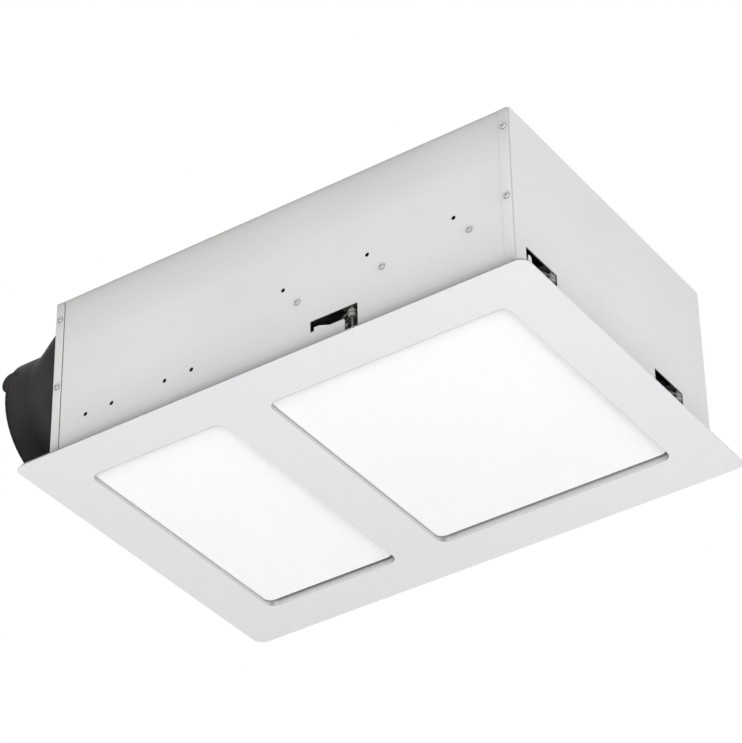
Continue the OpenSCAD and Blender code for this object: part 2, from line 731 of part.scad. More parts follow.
// Motor case: two end bells and the lugs that hang it from the scroll's lid.
module motor_case() color([0.66, 0.67, 0.69])
  translate([fan_x, fan_y, 0]) {
    difference() {
      union() {
        translate([0, 0, motor_low]) cylinder(r1 = motor_r - 6, r2 = motor_r, h = 6);
        translate([0, 0, motor_low + 6]) cylinder(r = motor_r, h = motor_high - motor_low - 8);
        translate([0, 0, motor_high - 2]) cylinder(r1 = motor_r, r2 = motor_r - 2, h = 2);
        for (a = [45:90:315]) rotate([0, 0, a]) {
          span([motor_r - 4, -6, lid_low - 6], [hang_r, 6, lid_low]);
          translate([hang_r, 0, lid_low - 6]) cylinder(r = 6, h = 6);
          span([motor_r - 4, -4, motor_high - 16], [motor_r + 1.5, 4, lid_low]);
        }
      }
      translate([0, 0, motor_low + case_t + 4]) cylinder(r = motor_r - case_t, h = motor_high - motor_low - 2 * case_t - 4);
      translate([0, 0, motor_low - eps]) cylinder(r = bush_r, h = motor_high - motor_low + 2 * eps);
      for (a = [0:45:315]) rotate([0, 0, a + 22.5]) {
        span([18, -3.5, motor_low - eps], [31, 3.5, motor_low + 8]);
        span([18, -3.5, motor_high - 4], [31, 3.5, motor_high + eps]);
        span([motor_r - 5, -7, motor_low + 8], [motor_r + 1, 7, stator_low - 3]);
      }
      for (a = [45:90:315]) rotate([0, 0, a]) translate([hang_r, 0, lid_low - 7])
        cylinder(r = screw_r + run, h = 8);
    }
  }

// Stator: a ring of laminations with round poles for the windings.
module motor_stator() color([0.55, 0.36, 0.22])
  translate([fan_x, fan_y, 0]) {
    difference() {
      translate([0, 0, stator_low]) cylinder(r = motor_r - case_t - run, h = stator_high - stator_low);
      translate([0, 0, stator_low - eps]) cylinder(r = rotor_r + 0.4, h = stator_high - stator_low + 2 * eps);
    }
    for (z = [stator_low - 6, stator_high]) translate([0, 0, z]) difference() {
      cylinder(r = 34, h = 6);
      translate([0, 0, -eps]) cylinder(r = 24, h = 6 + 2 * eps);
    }
  }

// Two sintered bushes, one in each end bell.
module motor_bearings() color([0.72, 0.58, 0.36])
  translate([fan_x, fan_y, 0])
    for (z = [motor_low - 2, motor_high - 10]) translate([0, 0, z]) difference() {
      cylinder(r = bush_r - run, h = 12);
      translate([0, 0, -eps]) cylinder(r = shaft_r + run, h = 12 + 2 * eps);
    }

// Rotor of the motor, fixed on the shaft.
module motor_rotor() color([0.6, 0.61, 0.63])
  translate([fan_x, fan_y, 0]) difference() {
    union() {
      translate([0, 0, stator_low]) cylinder(r = rotor_r, h = stator_high - stator_low);
      translate([0, 0, stator_low - 3]) cylinder(r = rotor_r - 1, h = stator_high - stator_low + 6);
    }
    translate([0, 0, stator_low - 4]) cylinder(r = shaft_r + run, h = stator_high - stator_low + 8);
  }

// Motor shaft, which carries the rotor and the impeller.
module motor_shaft() color([0.78, 0.78, 0.8])
  translate([fan_x, fan_y, 0]) {
    translate([0, 0, shaft_low]) cylinder(r = shaft_r, h = shaft_high - shaft_low);
  }

// One forward-curved blade, drawn at the +X side of the wheel.
module blade() linear_extrude(wheel_high - wheel_low - ring_t - 1)
  polygon([
    for (i = [0:5]) let (t = i / 5) [blade_in + 12.4 * t, -4.2 + 8.6 * t * t],
    for (i = [5:-1:0]) let (t = i / 5) [blade_in + 12.4 * t - 1.2 * t, -4.2 + 8.6 * t * t + 1.3]
  ]);

// Impeller: back plate, hub, blades and the ring round the inlet.
module impeller() color([0.8, 0.81, 0.82])
  translate([fan_x, fan_y, 0]) {
    difference() {
      union() {
        translate([0, 0, wheel_high - ring_t]) cylinder(r = wheel_r, h = ring_t);
        translate([0, 0, hub_low]) cylinder(r = hub_r, h = wheel_high - hub_low);
        translate([0, 0, hub_low + 6]) cylinder(r1 = hub_r, r2 = hub_r + 14, h = wheel_high - hub_low - 7);
      }
      translate([0, 0, hub_low - eps]) cylinder(r = shaft_r + run, h = wheel_high - hub_low + 2 * eps);
    }
    difference() {
      translate([0, 0, wheel_low]) cylinder(r = wheel_r, h = ring_t);
      translate([0, 0, wheel_low - eps]) cylinder(r = blade_in - 0.5, h = ring_t + 2 * eps);
    }
    for (k = [0:blades - 1]) rotate([0, 0, k * 360 / blades]) translate([0, 0, wheel_low + 1]) blade();
  }

// Nut and washer under the impeller's hub.
module hub_nut() color([0.74, 0.74, 0.76])
  translate([fan_x, fan_y, 0]) difference() {
    union() {
      translate([0, 0, hub_low - 1.5]) cylinder(r = 8, h = 1.5);
      translate([0, 0, hub_low - 7]) cylinder(r = nut_flat / 2 / cos(30), h = 5.6, $fn = 6);
    }
    translate([0, 0, hub_low - 8]) cylinder(r = shaft_r + run, h = 9);
  }

// Run capacitor of the fan motor in a clip on the back wall.
module run_capacitor() color([0.9, 0.9, 0.88]) {
  rod_x(cap_x, cap_x + cap_len, in_y - cap_r - 3, cap_z, cap_r);
  rod_x(cap_x - 4, cap_x + 1, in_y - cap_r - 3, cap_z, 4);
  span([cap_x + clip_in, in_y - cap_r - 3, cap_z - 16], [cap_x + clip_in + clip_w, in_y, cap_z - 8]);
  span([cap_x + clip_in, in_y - 4, cap_z - 16], [cap_x + clip_in + clip_w, in_y, cap_z + 20]);
}

// Lamp driver, a closed box under the roof.
module led_driver() color([0.92, 0.92, 0.92]) {
  span([driver_x, driver_y, roof_z - driver_h], [driver_x + driver_len, driver_y + driver_w, roof_z]);
  for (x = [driver_x - 8, driver_x + driver_len])
    span([x, driver_y + 8, roof_z - 3], [x + 8, driver_y + driver_w - 8, roof_z]);
}

// Steel pan over the reflector, with edges turned down at both long walls and four posts
// that the reflector hangs from.
module heat_shield() color([0.7, 0.71, 0.72]) {
  difference() {
    union() {
      span([shield_x0, -in_y, shield_z], [shield_x1, in_y, shield_z + sheet]);
      for (s = [-1, 1])
        span([shield_x0, min(s * in_y, s * (in_y - sheet)), shield_z - tab_h],
          [shield_x1, max(s * in_y, s * (in_y - sheet)), shield_z]);
    }
    for (k = [-1, 0, 1])
      rod_y(tray_mid + k * hole_pitch, tray_screw_z, screw_hole_r, -in_y - eps, in_y + eps);
    for (x = [-1, 1], k = [-2:2])
      translate([tray_mid + x * 108, k * 60, shield_z - eps]) cylinder(r = 4, h = sheet + 2 * eps);
  }
  for (x = [-80, 80], y = [-110, 110])
    translate([tray_mid + x, y, refl_top]) cylinder(r = post_r, h = shield_z - refl_top + eps);
}

// Trough section of the reflector: the outside and, smaller by t, the inside.
module trough(t, low) polygon([
    [shield_x0 + t, low], [shield_x0 + refl_slope + t, refl_top - t],
    [shield_x1 - refl_slope - t, refl_top - t], [shield_x1 - t, low]
  ]);

// Bright reflector behind the quartz tubes, open towards the room.
module heater_reflector() color([0.9, 0.9, 0.91])
  difference() {
    upright(-reflector_y, 2 * reflector_y) trough(0, refl_low);
    upright(-reflector_y + sheet, 2 * (reflector_y - sheet)) trough(sheet, refl_low - 1);
    for (s = [-1, 1])
      rod_y(tray_mid + s * tube_half, tube_z, tube_r + 2, -reflector_y - eps, reflector_y + eps);
  }

// Ceramic holders for the tubes' ends, on the reflector's end walls.
module tube_holders() color([0.93, 0.92, 0.89])
  for (k = [-1, 1], s = [-1, 1])
    difference() {
      span([tray_mid + k * tube_half - holder_half, min(s * reflector_y, s * (reflector_y + holder_len)),
          tube_z - holder_half],
        [tray_mid + k * tube_half + holder_half, max(s * reflector_y, s * (reflector_y + holder_len)),
          tube_z + holder_half + 4]);
      rod_y(tray_mid + k * tube_half, tube_z, tube_r + run, -reflector_y - holder_len - eps,
        reflector_y + holder_len + eps);
    }

// The two hollow quartz tubes.
module quartz_tubes() color([0.93, 0.93, 0.95, 0.6])
  for (k = [-1, 1]) difference() {
    rod_y(tray_mid + k * tube_half, tube_z, tube_r, -tube_len / 2, tube_len / 2);
    rod_y(tray_mid + k * tube_half, tube_z, tube_r - tube_wall, -tube_len / 2 - eps, tube_len / 2 + eps);
  }

// Heating coils and their end caps, which close the tubes.
module heating_coils() color([0.35, 0.3, 0.28])
  for (k = [-1, 1]) {
    difference() {
      rod_y(tray_mid + k * tube_half, tube_z, coil_r, -coil_half, coil_half);
      rod_y(tray_mid + k * tube_half, tube_z, coil_r - 0.8, -coil_half + 3, coil_half - 3);
    }
    for (s = [-1, 1]) {
      a = coil_half - 1;
      b = tube_len / 2;
      c = b + cap_t;
      rod_y(tray_mid + k * tube_half, tube_z, 1, min(s * a, s * b), max(s * a, s * b));
      rod_y(tray_mid + k * tube_half, tube_z, tube_r - 0.4, min(s * b, s * c), max(s * b, s * c));
    }
  }

// Thermal cut-out on top of the reflector.
module thermal_cutout() color([0.15, 0.15, 0.16]) translate([tray_mid, 40, refl_top]) {
  cylinder(r = 8, h = 6);
  translate([0, 0, 6]) cylinder(r = 6.5, h = 2.5);
  for (s = [-1, 1]) span([s * 9 - 3, -2.5, 1], [s * 9 + 3, 2.5, 1.8]);
}

// Steel brackets of the clamps: a top plate, a web with a guide slot and a bottom plate.
module clamp_brackets() color([0.62, 0.63, 0.6])
  for (i = [0:len(CLAMPS) - 1]) at_clamp(i) difference() {
    y0 = -pivot_in + sheet;
    union() {
      span([-bracket_half, y0, bracket_top], [bracket_half, bracket_deep + bracket_t, bracket_top + bracket_t]);
      span([-bracket_half, bracket_deep, bracket_low],
        [bracket_half, bracket_deep + bracket_t, bracket_top + bracket_t]);
      span([-bracket_half, y0, bracket_low],
        [bracket_half, bracket_deep + bracket_t, bracket_low + bracket_t]);
      span([-bracket_half, y0, bracket_top], [bracket_half, y0 + bracket_t, bracket_top + 10]);
    }
    translate([0, 0, bracket_low - eps]) cylinder(r = clamp_screw_r + run, h = bracket_t + 2 * eps);
    translate([0, 0, bracket_top - eps]) cylinder(r = screw_tip_r + run, h = bracket_t + 2 * eps);
    span([-tail_half - pass, bracket_deep - eps, nut_low - clamp_travel - 3.5],
      [tail_half + pass, bracket_deep + bracket_t + eps, bracket_top - 3]);
    span([-5, y0 - eps, bracket_top + bracket_t], [5, y0 + bracket_t + eps, bracket_top + 10 + eps]);
  }

// A clamp screw: head below the bracket, a collar that keeps it in the bracket's bottom
// plate, a plain shank and a thin end that runs in the top plate.
module clamp_screw() {
  difference() {
    translate([0, 0, 0.3]) cylinder(r = 3.2, h = bracket_low - pass - 0.3);
    for (a = [0, 90]) rotate([0, 0, a]) span([-2, -0.4, 0], [2, 0.4, 1.3]);
  }
  translate([0, 0, 1]) cylinder(r = clamp_screw_r, h = window_top - pass - 1);
  translate([0, 0, bracket_low + bracket_t + pass]) cylinder(r = 3, h = 1.2);
  translate([0, 0, window_top - 1]) cylinder(r = screw_tip_r, h = bracket_t + 2.5);
}

// A clamp nut: block, guide tail, neck for the arm and a domed head that keeps the arm on.
module clamp_nut()
  difference() {
    union() {
      span([-nut_half, -nut_half, nut_low], [nut_half, nut_half, nut_top]);
      span([-tail_half, 0, nut_low], [tail_half, bracket_deep + bracket_t + 1, nut_top]);
      translate([0, 0, nut_low]) cylinder(r = neck_r, h = arm_low + arm_t + pass - nut_low);
      translate([0, 0, arm_low + arm_t + pass]) cylinder(r1 = 4.2, r2 = 3.2, h = 1.3);
    }
    translate([0, 0, nut_low - eps]) cylinder(r = clamp_screw_r + run, h = 14);
  }

// A clamp arm: strip with a boss round the nut's neck, a stiffening rib and a hooked tip.
module clamp_arm()
  rotate([0, 0, 180 - arm_tuck]) difference() {
    union() {
      translate([0, 0, arm_low]) cylinder(r = arm_boss_r, h = arm_t);
      span([0, -arm_half, arm_low], [arm_reach, arm_half, arm_low + arm_t]);
      span([7, -1, rib_low], [rib_end, 1, arm_low + eps]);
      span([arm_reach - hook_t, -arm_half, rib_low], [arm_reach, arm_half, arm_low + eps]);
    }
    translate([0, 0, arm_low - eps]) cylinder(r = neck_r + run, h = arm_t + 2 * eps);
  }

module clamp_screw_front() color([0.8, 0.8, 0.82]) at_clamp(0) clamp_screw();
module clamp_nut_front() color([0.82, 0.82, 0.84]) at_clamp(0) clamp_nut();
module clamp_arm_front() color([0.6, 0.6, 0.58]) at_clamp(0) clamp_arm();
module clamp_screw_back() color([0.8, 0.8, 0.82]) at_clamp(1) clamp_screw();
module clamp_nut_back() color([0.82, 0.82, 0.84]) at_clamp(1) clamp_nut();
module clamp_arm_back() color([0.6, 0.6, 0.58]) at_clamp(1) clamp_arm();
module clamp_screw_near() color([0.8, 0.8, 0.82]) at_clamp(2) clamp_screw();
module clamp_nut_near() color([0.82, 0.82, 0.84]) at_clamp(2) clamp_nut();
module clamp_arm_near() color([0.6, 0.6, 0.58]) at_clamp(2) clamp_arm();
module clamp_screw_far() color([0.8, 0.8, 0.82]) at_clamp(3) clamp_screw();
module clamp_nut_far() color([0.82, 0.82, 0.84]) at_clamp(3) clamp_nut();
module clamp_arm_far() color([0.6, 0.6, 0.58]) at_clamp(3) clamp_arm();
module clamp_screw_left() color([0.8, 0.8, 0.82]) at_clamp(4) clamp_screw();
module clamp_nut_left() color([0.82, 0.82, 0.84]) at_clamp(4) clamp_nut();
module clamp_arm_left() color([0.6, 0.6, 0.58]) at_clamp(4) clamp_arm();

// Shelves on the long walls whose slots take the fascia springs' legs.
module spring_brackets() color([0.68, 0.69, 0.7])
  for (p = SPRINGS) {
    s = p[1];
    difference() {
      union() {
        span([p[0] - slot_half - 6, min(s * in_y, s * (spring_y - 6)), slot_z],
          [p[0] + slot_half + 6, max(s * in_y, s * (spring_y - 6)), slot_z + shelf_t]);
        span([p[0] - slot_half - 6, min(s * in_y, s * (in_y - shelf_t)), slot_z],
          [p[0] + slot_half + 6, max(s * in_y, s * (in_y - shelf_t)), slot_z + 12]);
      }
      span([p[0] - slot_half, s * spring_y - 2, slot_z - eps], [p[0] + slot_half, s * spring_y + 2, slot_z + 2]);
    }
  }

// The fascia: a plate with a turned-up rim, two openings with turned-up edges, and a post
// with a peg for each spring.
module fascia() color([0.91, 0.9, 0.91]) {
  difference() {
    round_plate(-face_x / 2, face_x / 2, face_y / 2, face_r, plate_low, 0);
    round_plate(-face_x / 2 + face_t, face_x / 2 - face_t, face_y / 2 - face_t, face_r - face_t,
      plate_top, eps);
    round_plate(heat_x0, heat_x1, open_y, open_r, plate_low - eps, eps);
    round_plate(lamp_x0, lamp_x1, open_y, open_r, plate_low - eps, eps);
  }
  for (o = [[heat_x0, heat_x1], [lamp_x0, lamp_x1]]) difference() {
    union() {
      round_plate(o[0] - face_t, o[1] + face_t, open_y + face_t, open_r + face_t, plate_low + eps, lip_z);
      for (x = [o[0] - 6, o[1]]) span([x, -rail_half, lip_z - face_t], [x + 6, rail_half, lip_z]);
    }
    round_plate(o[0], o[1], open_y, open_r, plate_low, lip_z + eps);
  }
  for (p = SPRINGS) {
    s = p[1];
    span([p[0] - 6, min(s * (spring_y + 3.4), s * (spring_y + 5)), plate_top - eps],
      [p[0] + 6, max(s * (spring_y + 3.4), s * (spring_y + 5)), peg_z + 5]);
    rod_y(p[0], peg_z, peg_r, min(s * (spring_y + 4), s * (spring_y - 4)),
      max(s * (spring_y + 4), s * (spring_y - 4)));
  }
}

// Foam pads on the fascia that close against the housing's flange.
module fascia_pads() color([0.25, 0.25, 0.26])
  for (s = [-1, 1]) {
    for (x = [-190, 190])
      span([x - 30, min(s * (half_y + 2), s * (half_y + flange - 2)), plate_top],
        [x + 30, max(s * (half_y + 2), s * (half_y + flange - 2)), -sheet - pass]);
    for (y = [-60, 60])
      span([min(s * (half_x + 2), s * (half_x + flange - 2)), y - 20, plate_top],
        [max(s * (half_x + 2), s * (half_x + flange - 2)), y + 20, -sheet - pass]);
  }

// Frosted glass plate in front of the heater.
module heater_glass() color([0.97, 0.97, 0.97])
  round_plate(heat_x0 + side_gap, heat_x1 - side_gap, panel_half, open_r - 2, panel_z, panel_z + glass_t);

// Rails that carry the glass from the turned-up edges of its opening.
module glass_rails() color([0.66, 0.67, 0.68])
  for (s = [0, 1]) {
    x0 = s ? heat_x1 : heat_x0;
    d = s ? -1 : 1;
    top = panel_z + glass_t + gasket_h;
    upright(-rail_half, 2 * rail_half) polygon([
      [x0 - d * 5, lip_z], [x0 - d * 5, lip_z + 1.2], [x0 + d * 4, lip_z + 1.2],
      [x0 + d * 4, top + 1.2], [x0 + d * rail_w, top + 1.2], [x0 + d * rail_w, top],
      [x0 + d * 2.8, top], [x0 + d * 2.8, lip_z]
    ]);
  }

// Silicone strips that bond the glass to its rails.
module glass_gaskets() color([0.75, 0.74, 0.72])
  for (x = [heat_x0 + 3.5, heat_x1 - rail_w + 1])
    span([x, -rail_half, panel_z + glass_t], [x + rail_w - 4.5, rail_half, panel_z + glass_t + gasket_h]);

// Opal diffuser of the lamp: a plate with an upstand inside the lamp's tray.
module light_diffuser() color([0.98, 0.98, 0.98]) {
  round_plate(lamp_x0 + side_gap, lamp_x1 - side_gap, panel_half, open_r - 2, panel_z, panel_z + diffuser_t);
  difference() {
    span([lamp_x0 + lamp_in + sheet + pass, -tray_half + sheet + pass, panel_z],
      [lamp_x1 - lamp_in - sheet - pass, tray_half - sheet - pass, panel_z + diffuser_t + 6]);
    span([lamp_x0 + lamp_in + sheet + pass + 1.6, -tray_half + sheet + pass + 1.6, panel_z + diffuser_t],
      [lamp_x1 - lamp_in - sheet - pass - 1.6, tray_half - sheet - pass - 1.6, panel_z + diffuser_t + 7]);
  }
}

// Lamp tray over the diffuser, resting on the turned-up edges of its opening.
module led_tray() color([0.88, 0.88, 0.88]) {
  low = panel_z + diffuser_t + pass;
  difference() {
    span([lamp_x0 + lamp_in, -tray_half, low], [lamp_x1 - lamp_in, tray_half, tray_top]);
    span([lamp_x0 + lamp_in + sheet, -tray_half + sheet, low - eps],
      [lamp_x1 - lamp_in - sheet, tray_half - sheet, tray_top - sheet]);
    for (y = [-60, 60]) translate([(lamp_x0 + lamp_x1) / 2, y, tray_top - 2]) cylinder(r = 4, h = 3);
  }
  span([lamp_x0 - 5, -rail_half, lip_z], [lamp_x0 + lamp_in + 0.2, rail_half, lip_z + sheet]);
  span([lamp_x1 - lamp_in - 0.2, -rail_half, lip_z], [lamp_x1 + 5, rail_half, lip_z + sheet]);
}

// Circuit board of the lamp, under the tray's top.
module led_board() color([0.93, 0.94, 0.93])
  span([lamp_x0 + lamp_in + 8, -tray_half + 8, tray_top - sheet - led_t],
    [lamp_x1 - lamp_in - 8, tray_half - 8, tray_top - sheet]);

// Light emitting chips in rows under the board.
module led_chips() color([0.98, 0.9, 0.55])
  for (i = [0:4], j = [0:8])
    translate([(lamp_x0 + lamp_x1) / 2 + (i - 2) * 30 - chip / 2, (j - 4) * 31 - chip / 2,
        tray_top - sheet - led_t - 0.8])
      cube([chip, chip, 0.8]);

// Wire springs: a coil on the fascia's peg and two legs through a shelf's slot, with
// thick ends that stop the fascia when it hangs down.
module fascia_springs() color([0.76, 0.76, 0.78])
  for (p = SPRINGS) {
    s = p[1];
    difference() {
      union() {
        rod_y(p[0], peg_z, coil_out, s * spring_y - 2.6, s * spring_y + 2.6);
        for (k = [-1, 1]) translate([p[0], s * spring_y, peg_z]) rotate([0, k * leg_lean, 0]) {
          translate([k * (coil_in + coil_out) / 2, 0, 0]) cylinder(r = wire_r, h = leg_len);
          translate([k * (coil_in + coil_out) / 2, 0, leg_len - 1.5]) cylinder(r = 1.7, h = 1.5);
        }
      }
      rod_y(p[0], peg_z, coil_in, s * spring_y - 4, s * spring_y + 4);
    }
  }

front_wall();
back_wall();
right_end_plate();
left_end_plate();
top_plate();
bulkhead();
pan_screws();
duct_adapter();
damper_pin();
damper_flap();
wiring_box();
wiring_cover();
cable_gland();
terminal_block();
scroll_wrap();
scroll_base();
scroll_top();
scroll_feet();
motor_case();
motor_stator();
motor_bearings();
motor_rotor();
motor_shaft();
impeller();
hub_nut();
run_capacitor();
led_driver();
heat_shield();
heater_reflector();
tube_holders();
quartz_tubes();
heating_coils();
thermal_cutout();
clamp_brackets();
spring_brackets();
clamp_screw_front();
clamp_nut_front();
clamp_arm_front();
clamp_screw_back();
clamp_nut_back();
clamp_arm_back();
clamp_screw_near();
clamp_nut_near();
clamp_arm_near();
clamp_screw_far();
clamp_nut_far();
clamp_arm_far();
clamp_screw_left();
clamp_nut_left();
clamp_arm_left();
fascia();
fascia_pads();
heater_glass();
glass_rails();
glass_gaskets();
light_diffuser();
led_tray();
led_board();
led_chips();
fascia_springs();
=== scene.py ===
# %% [markdown]
# # A bathroom heater fan, seen from below
# The real unit sits in a ceiling opening: a folded steel box above, a wide white fascia below,
# and a black plastic spout at one end for the duct.
# The measured part gives the places and the outside sizes. This script dresses it: it draws the
# pieces with their real edges, bends and surfaces. Bends, threads and recesses are details that the
# measured solids don't have. A larger departure from them is named in its own cell.

# %% Load the measured part
import bpy, bmesh, json, math, random
from mathutils import Matrix, Vector


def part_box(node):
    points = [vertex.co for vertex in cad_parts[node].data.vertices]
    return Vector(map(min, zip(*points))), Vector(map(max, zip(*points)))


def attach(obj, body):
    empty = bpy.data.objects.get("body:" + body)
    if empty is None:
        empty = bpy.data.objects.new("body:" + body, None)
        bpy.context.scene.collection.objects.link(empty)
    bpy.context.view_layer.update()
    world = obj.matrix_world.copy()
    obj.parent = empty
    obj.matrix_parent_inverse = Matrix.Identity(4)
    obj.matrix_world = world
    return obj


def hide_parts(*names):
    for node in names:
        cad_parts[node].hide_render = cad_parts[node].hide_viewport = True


random.seed(11)
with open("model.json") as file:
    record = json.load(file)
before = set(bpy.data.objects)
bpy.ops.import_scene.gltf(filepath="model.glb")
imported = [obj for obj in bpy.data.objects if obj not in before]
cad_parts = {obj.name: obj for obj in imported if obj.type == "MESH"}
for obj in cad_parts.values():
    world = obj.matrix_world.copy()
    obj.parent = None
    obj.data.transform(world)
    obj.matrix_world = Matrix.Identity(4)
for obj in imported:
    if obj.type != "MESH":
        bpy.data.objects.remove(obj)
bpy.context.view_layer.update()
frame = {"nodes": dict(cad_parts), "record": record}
nodes = frame["nodes"]
mm = 0.001
roof_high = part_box("top_plate")[1][2]

# %% [markdown]
# ## The camera
# The photograph was taken from below and from the front right, with a long lens: opposite
# edges of the fascia stay nearly parallel. The place and the lens were solved from the
# straight edges of the fascia and the box.
# A wrong camera makes every later comparison useless, so it comes first.

# %% Camera
scene = bpy.context.scene
scene.view_settings.view_transform = "Standard"
cam_data = bpy.data.cameras.new("camera")
cam = bpy.data.objects.new("camera", cam_data)
scene.collection.objects.link(cam)
cam_data.sensor_width = 36.0
cam_data.lens = 156.2
cam_data.clip_start = 0.1
cam_data.clip_end = 50
cam_place = (1.46972, -2.23390, -1.78816)
right = Vector((0.82730, 0.56153, -0.01605)).normalized()
ahead = Vector((-0.44993, 0.67944, 0.57960)).normalized()
up = right.cross(ahead).normalized()
turned = Matrix((right, up, -ahead)).transposed().to_4x4()
cam.matrix_world = Matrix.Translation(cam_place) @ turned
scene.camera = cam
print("camera", [round(v, 3) for v in cam.location], "lens", cam_data.lens)

# %% [markdown]
# ## One node at a time
# A finish or a sky is a small network of nodes, and each node needs the same few steps: add it, set
# it, and give its inputs a value or the output of another node. One helper does all of that, so the
# cells below show the network and not the plumbing.

# %% Helper: one shader node


def add(t, kind, terms=(), **settings):
    """A new shader node in the tree t: each input gets a plain value or another node's output."""
    node = t.nodes.new("ShaderNode" + kind)
    for key, value in settings.items():
        setattr(node, key, value)
    for key, term in dict(terms).items():
        if isinstance(term, bpy.types.NodeSocket):
            t.links.new(term, node.inputs[key])
        else:
            node.inputs[key].default_value = term
    return node


def maths(t, operation, *terms):
    """The output of a maths node over plain numbers and outputs of other nodes."""
    return add(t, "Math", enumerate(terms), operation=operation).outputs[0]


def mixed(t, share, first, second, way="MIX"):
    """The output of a node that mixes two colours by a share."""
    return add(t, "MixRGB", {0: share, 1: first, 2: second}, blend_type=way).outputs[0]


print("node helpers ready")

# %% [markdown]
# ## Light
# A ceiling unit is seen from below, so the light has to reach its underside. An even grey world and
# a pale floor far below, which glows faintly itself, give soft light from all sides.
# The background is white only for rays that come straight from the camera, through glass or by way
# of polish, so it adds nothing to the soft light on the object.

# %% Surroundings
world = bpy.data.worlds.new("studio")
scene.world = world
world.use_nodes = True
sky = world.node_tree
sky.nodes.clear()
path = add(sky, "LightPath")
clear_ray = maths(sky, "MAXIMUM", path.outputs["Is Camera Ray"], path.outputs["Is Transmission Ray"])
shiny_ray = maths(sky, "MAXIMUM", clear_ray, path.outputs["Is Glossy Ray"])
white = add(sky, "Background", {"Color": (1, 1, 1, 1), "Strength": 1.0})
grey = add(sky, "Background", {"Color": (0.97, 0.98, 1, 1), "Strength": 0.27})
both = add(sky, "MixShader", {0: shiny_ray, 1: grey.outputs[0], 2: white.outputs[0]})
add(sky, "OutputWorld", {"Surface": both.outputs[0]})
print("world nodes", len(sky.nodes))

# %% [markdown]
# One lamp stands low in front of each visible wall, where it lights the wall and the underside
# together. Three weaker lamps stand behind, beside the duct and above, so that the hidden sides
# aren't dark. The one above is weak enough that the roof doesn't clip.

# %% Lamps


def lamp(name, place, target, size, watts, tint=(1, 1, 1)):
    """A rectangular lamp at a place, turned to its target, that the camera doesn't see."""
    data = bpy.data.lights.new(name, "AREA")
    data.shape = "RECTANGLE"
    data.size, data.size_y = size
    data.energy = watts
    data.color = tint
    obj = bpy.data.objects.new(name, data)
    scene.collection.objects.link(obj)
    obj.location = place
    obj.rotation_mode = "QUATERNION"
    obj.rotation_quaternion = (Vector(target) - Vector(place)).to_track_quat("-Z", "Y")
    obj.visible_camera = False


lamp("front", (0.05, -3.2, -1.05), (0.1, -0.18, 0.05), (1.2, 1.5), 67)
lamp("end", (3.1, -0.4, -0.95), (0.27, -0.14, 0.1), (1.2, 1.5), 63, (0.985, 0.985, 1.0))
lamp("behind", (-1.6, 2.9, 0.9), (0, 0, 0.1), (2.0, 1.6), 30)
lamp("duct side", (-3.1, 0.5, 0.9), (-0.3, 0, 0.1), (2.0, 1.6), 24)
lamp("above", (0.2, 0.1, 3.2), (0, 0, 0.2), (2.6, 2.2), 24)

# %% [markdown]
# ## Materials
# Each surface is built from noise at real sizes in metres, so its grain stays true from any side.
# Painted sheet has a faint orange-peel texture, zinc-coated sheet shows soft crystals, and the
# moulded plastics have a fine spark texture.
# A clean new product still varies a little in tone and gloss, which is what keeps it from looking
# like a drawing.

# %% Helper: patches and crystals
MATS = {}
crystal_size = 0.009


def patches(t, colour, tone, broad):
    """The colour, a little darker and a little paler from patch to patch."""
    ramp = add(t, "ValToRGB", {"Fac": broad.outputs["Fac"]})
    marks = ramp.color_ramp.elements
    marks[0].position = 0.3
    marks[1].position = 0.7
    marks[0].color = (*[max(0.0, c * (1 - tone)) for c in colour], 1)
    marks[1].color = (*[min(1.0, c * (1 + tone)) for c in colour], 1)
    return ramp.outputs["Color"]


def zinc_crystals(t, tint, place, strength):
    """Lays the cells of zinc crystals over the colour."""
    cell = add(t, "TexVoronoi", {"Scale": 1 / crystal_size, "Vector": place})
    plain = add(t, "RGBToBW", {0: cell.outputs["Color"]})
    return mixed(t, strength, tint, plain.outputs[0], "OVERLAY")


print("crystals of", crystal_size / mm, "mm")

# %% [markdown]
# Handling rubs the finish off the edges first. An edge is where the normal of a slightly rounded
# surface leaves the true normal, so the material finds its own edges and needs no painted mask.

# %% Helper: worn edges
edge_reach = 0.0005
wear_spots = 0.006


def worn_edges(t, tint, place, colour, amount):
    """Mixes a worn colour in at the edges, broken up by noise."""
    soft = add(t, "Bevel", {"Radius": edge_reach}, samples=4)
    true = add(t, "NewGeometry")
    same = add(t, "VectorMath", {0: soft.outputs[0], 1: true.outputs["Normal"]}, operation="DOT_PRODUCT")
    edge = add(t, "MapRange", {"Value": same.outputs["Value"], "From Min": 0.99, "From Max": 0.8})
    broken = add(t, "TexNoise", {"Scale": 1 / wear_spots, "Vector": place})
    share = maths(t, "MULTIPLY", edge.outputs[0], broken.outputs["Fac"])
    return mixed(t, maths(t, "MULTIPLY", share, 2 * amount), tint, (*colour, 1))


print("edges worn over", edge_reach / mm, "mm")

# %% [markdown]
# ## Shade that is written into the colour
# The photograph's own light left shade on the unit that the plain lamps here don't cast: along the
# foot and the upper edge of the long walls, on the bends, inside the recesses and in corners.
# The four helpers below darken the colour in those places. Their numbers were tuned by comparing
# levels with the photograph. They stand in for shade and are no property of the real coat.

# %% Helper: shaded corners


def shaded_corners(t, tint, amount, reach, bend):
    """Darkens the colour where other surfaces stand closer than the reach."""
    near = add(t, "AmbientOcclusion", {"Distance": reach}, samples=6)
    bent = maths(t, "POWER", near.outputs["AO"], bend)
    depth = add(t, "MapRange", {"Value": bent, "To Min": 1 - amount})
    return mixed(t, 1, tint, depth.outputs[0], "MULTIPLY")


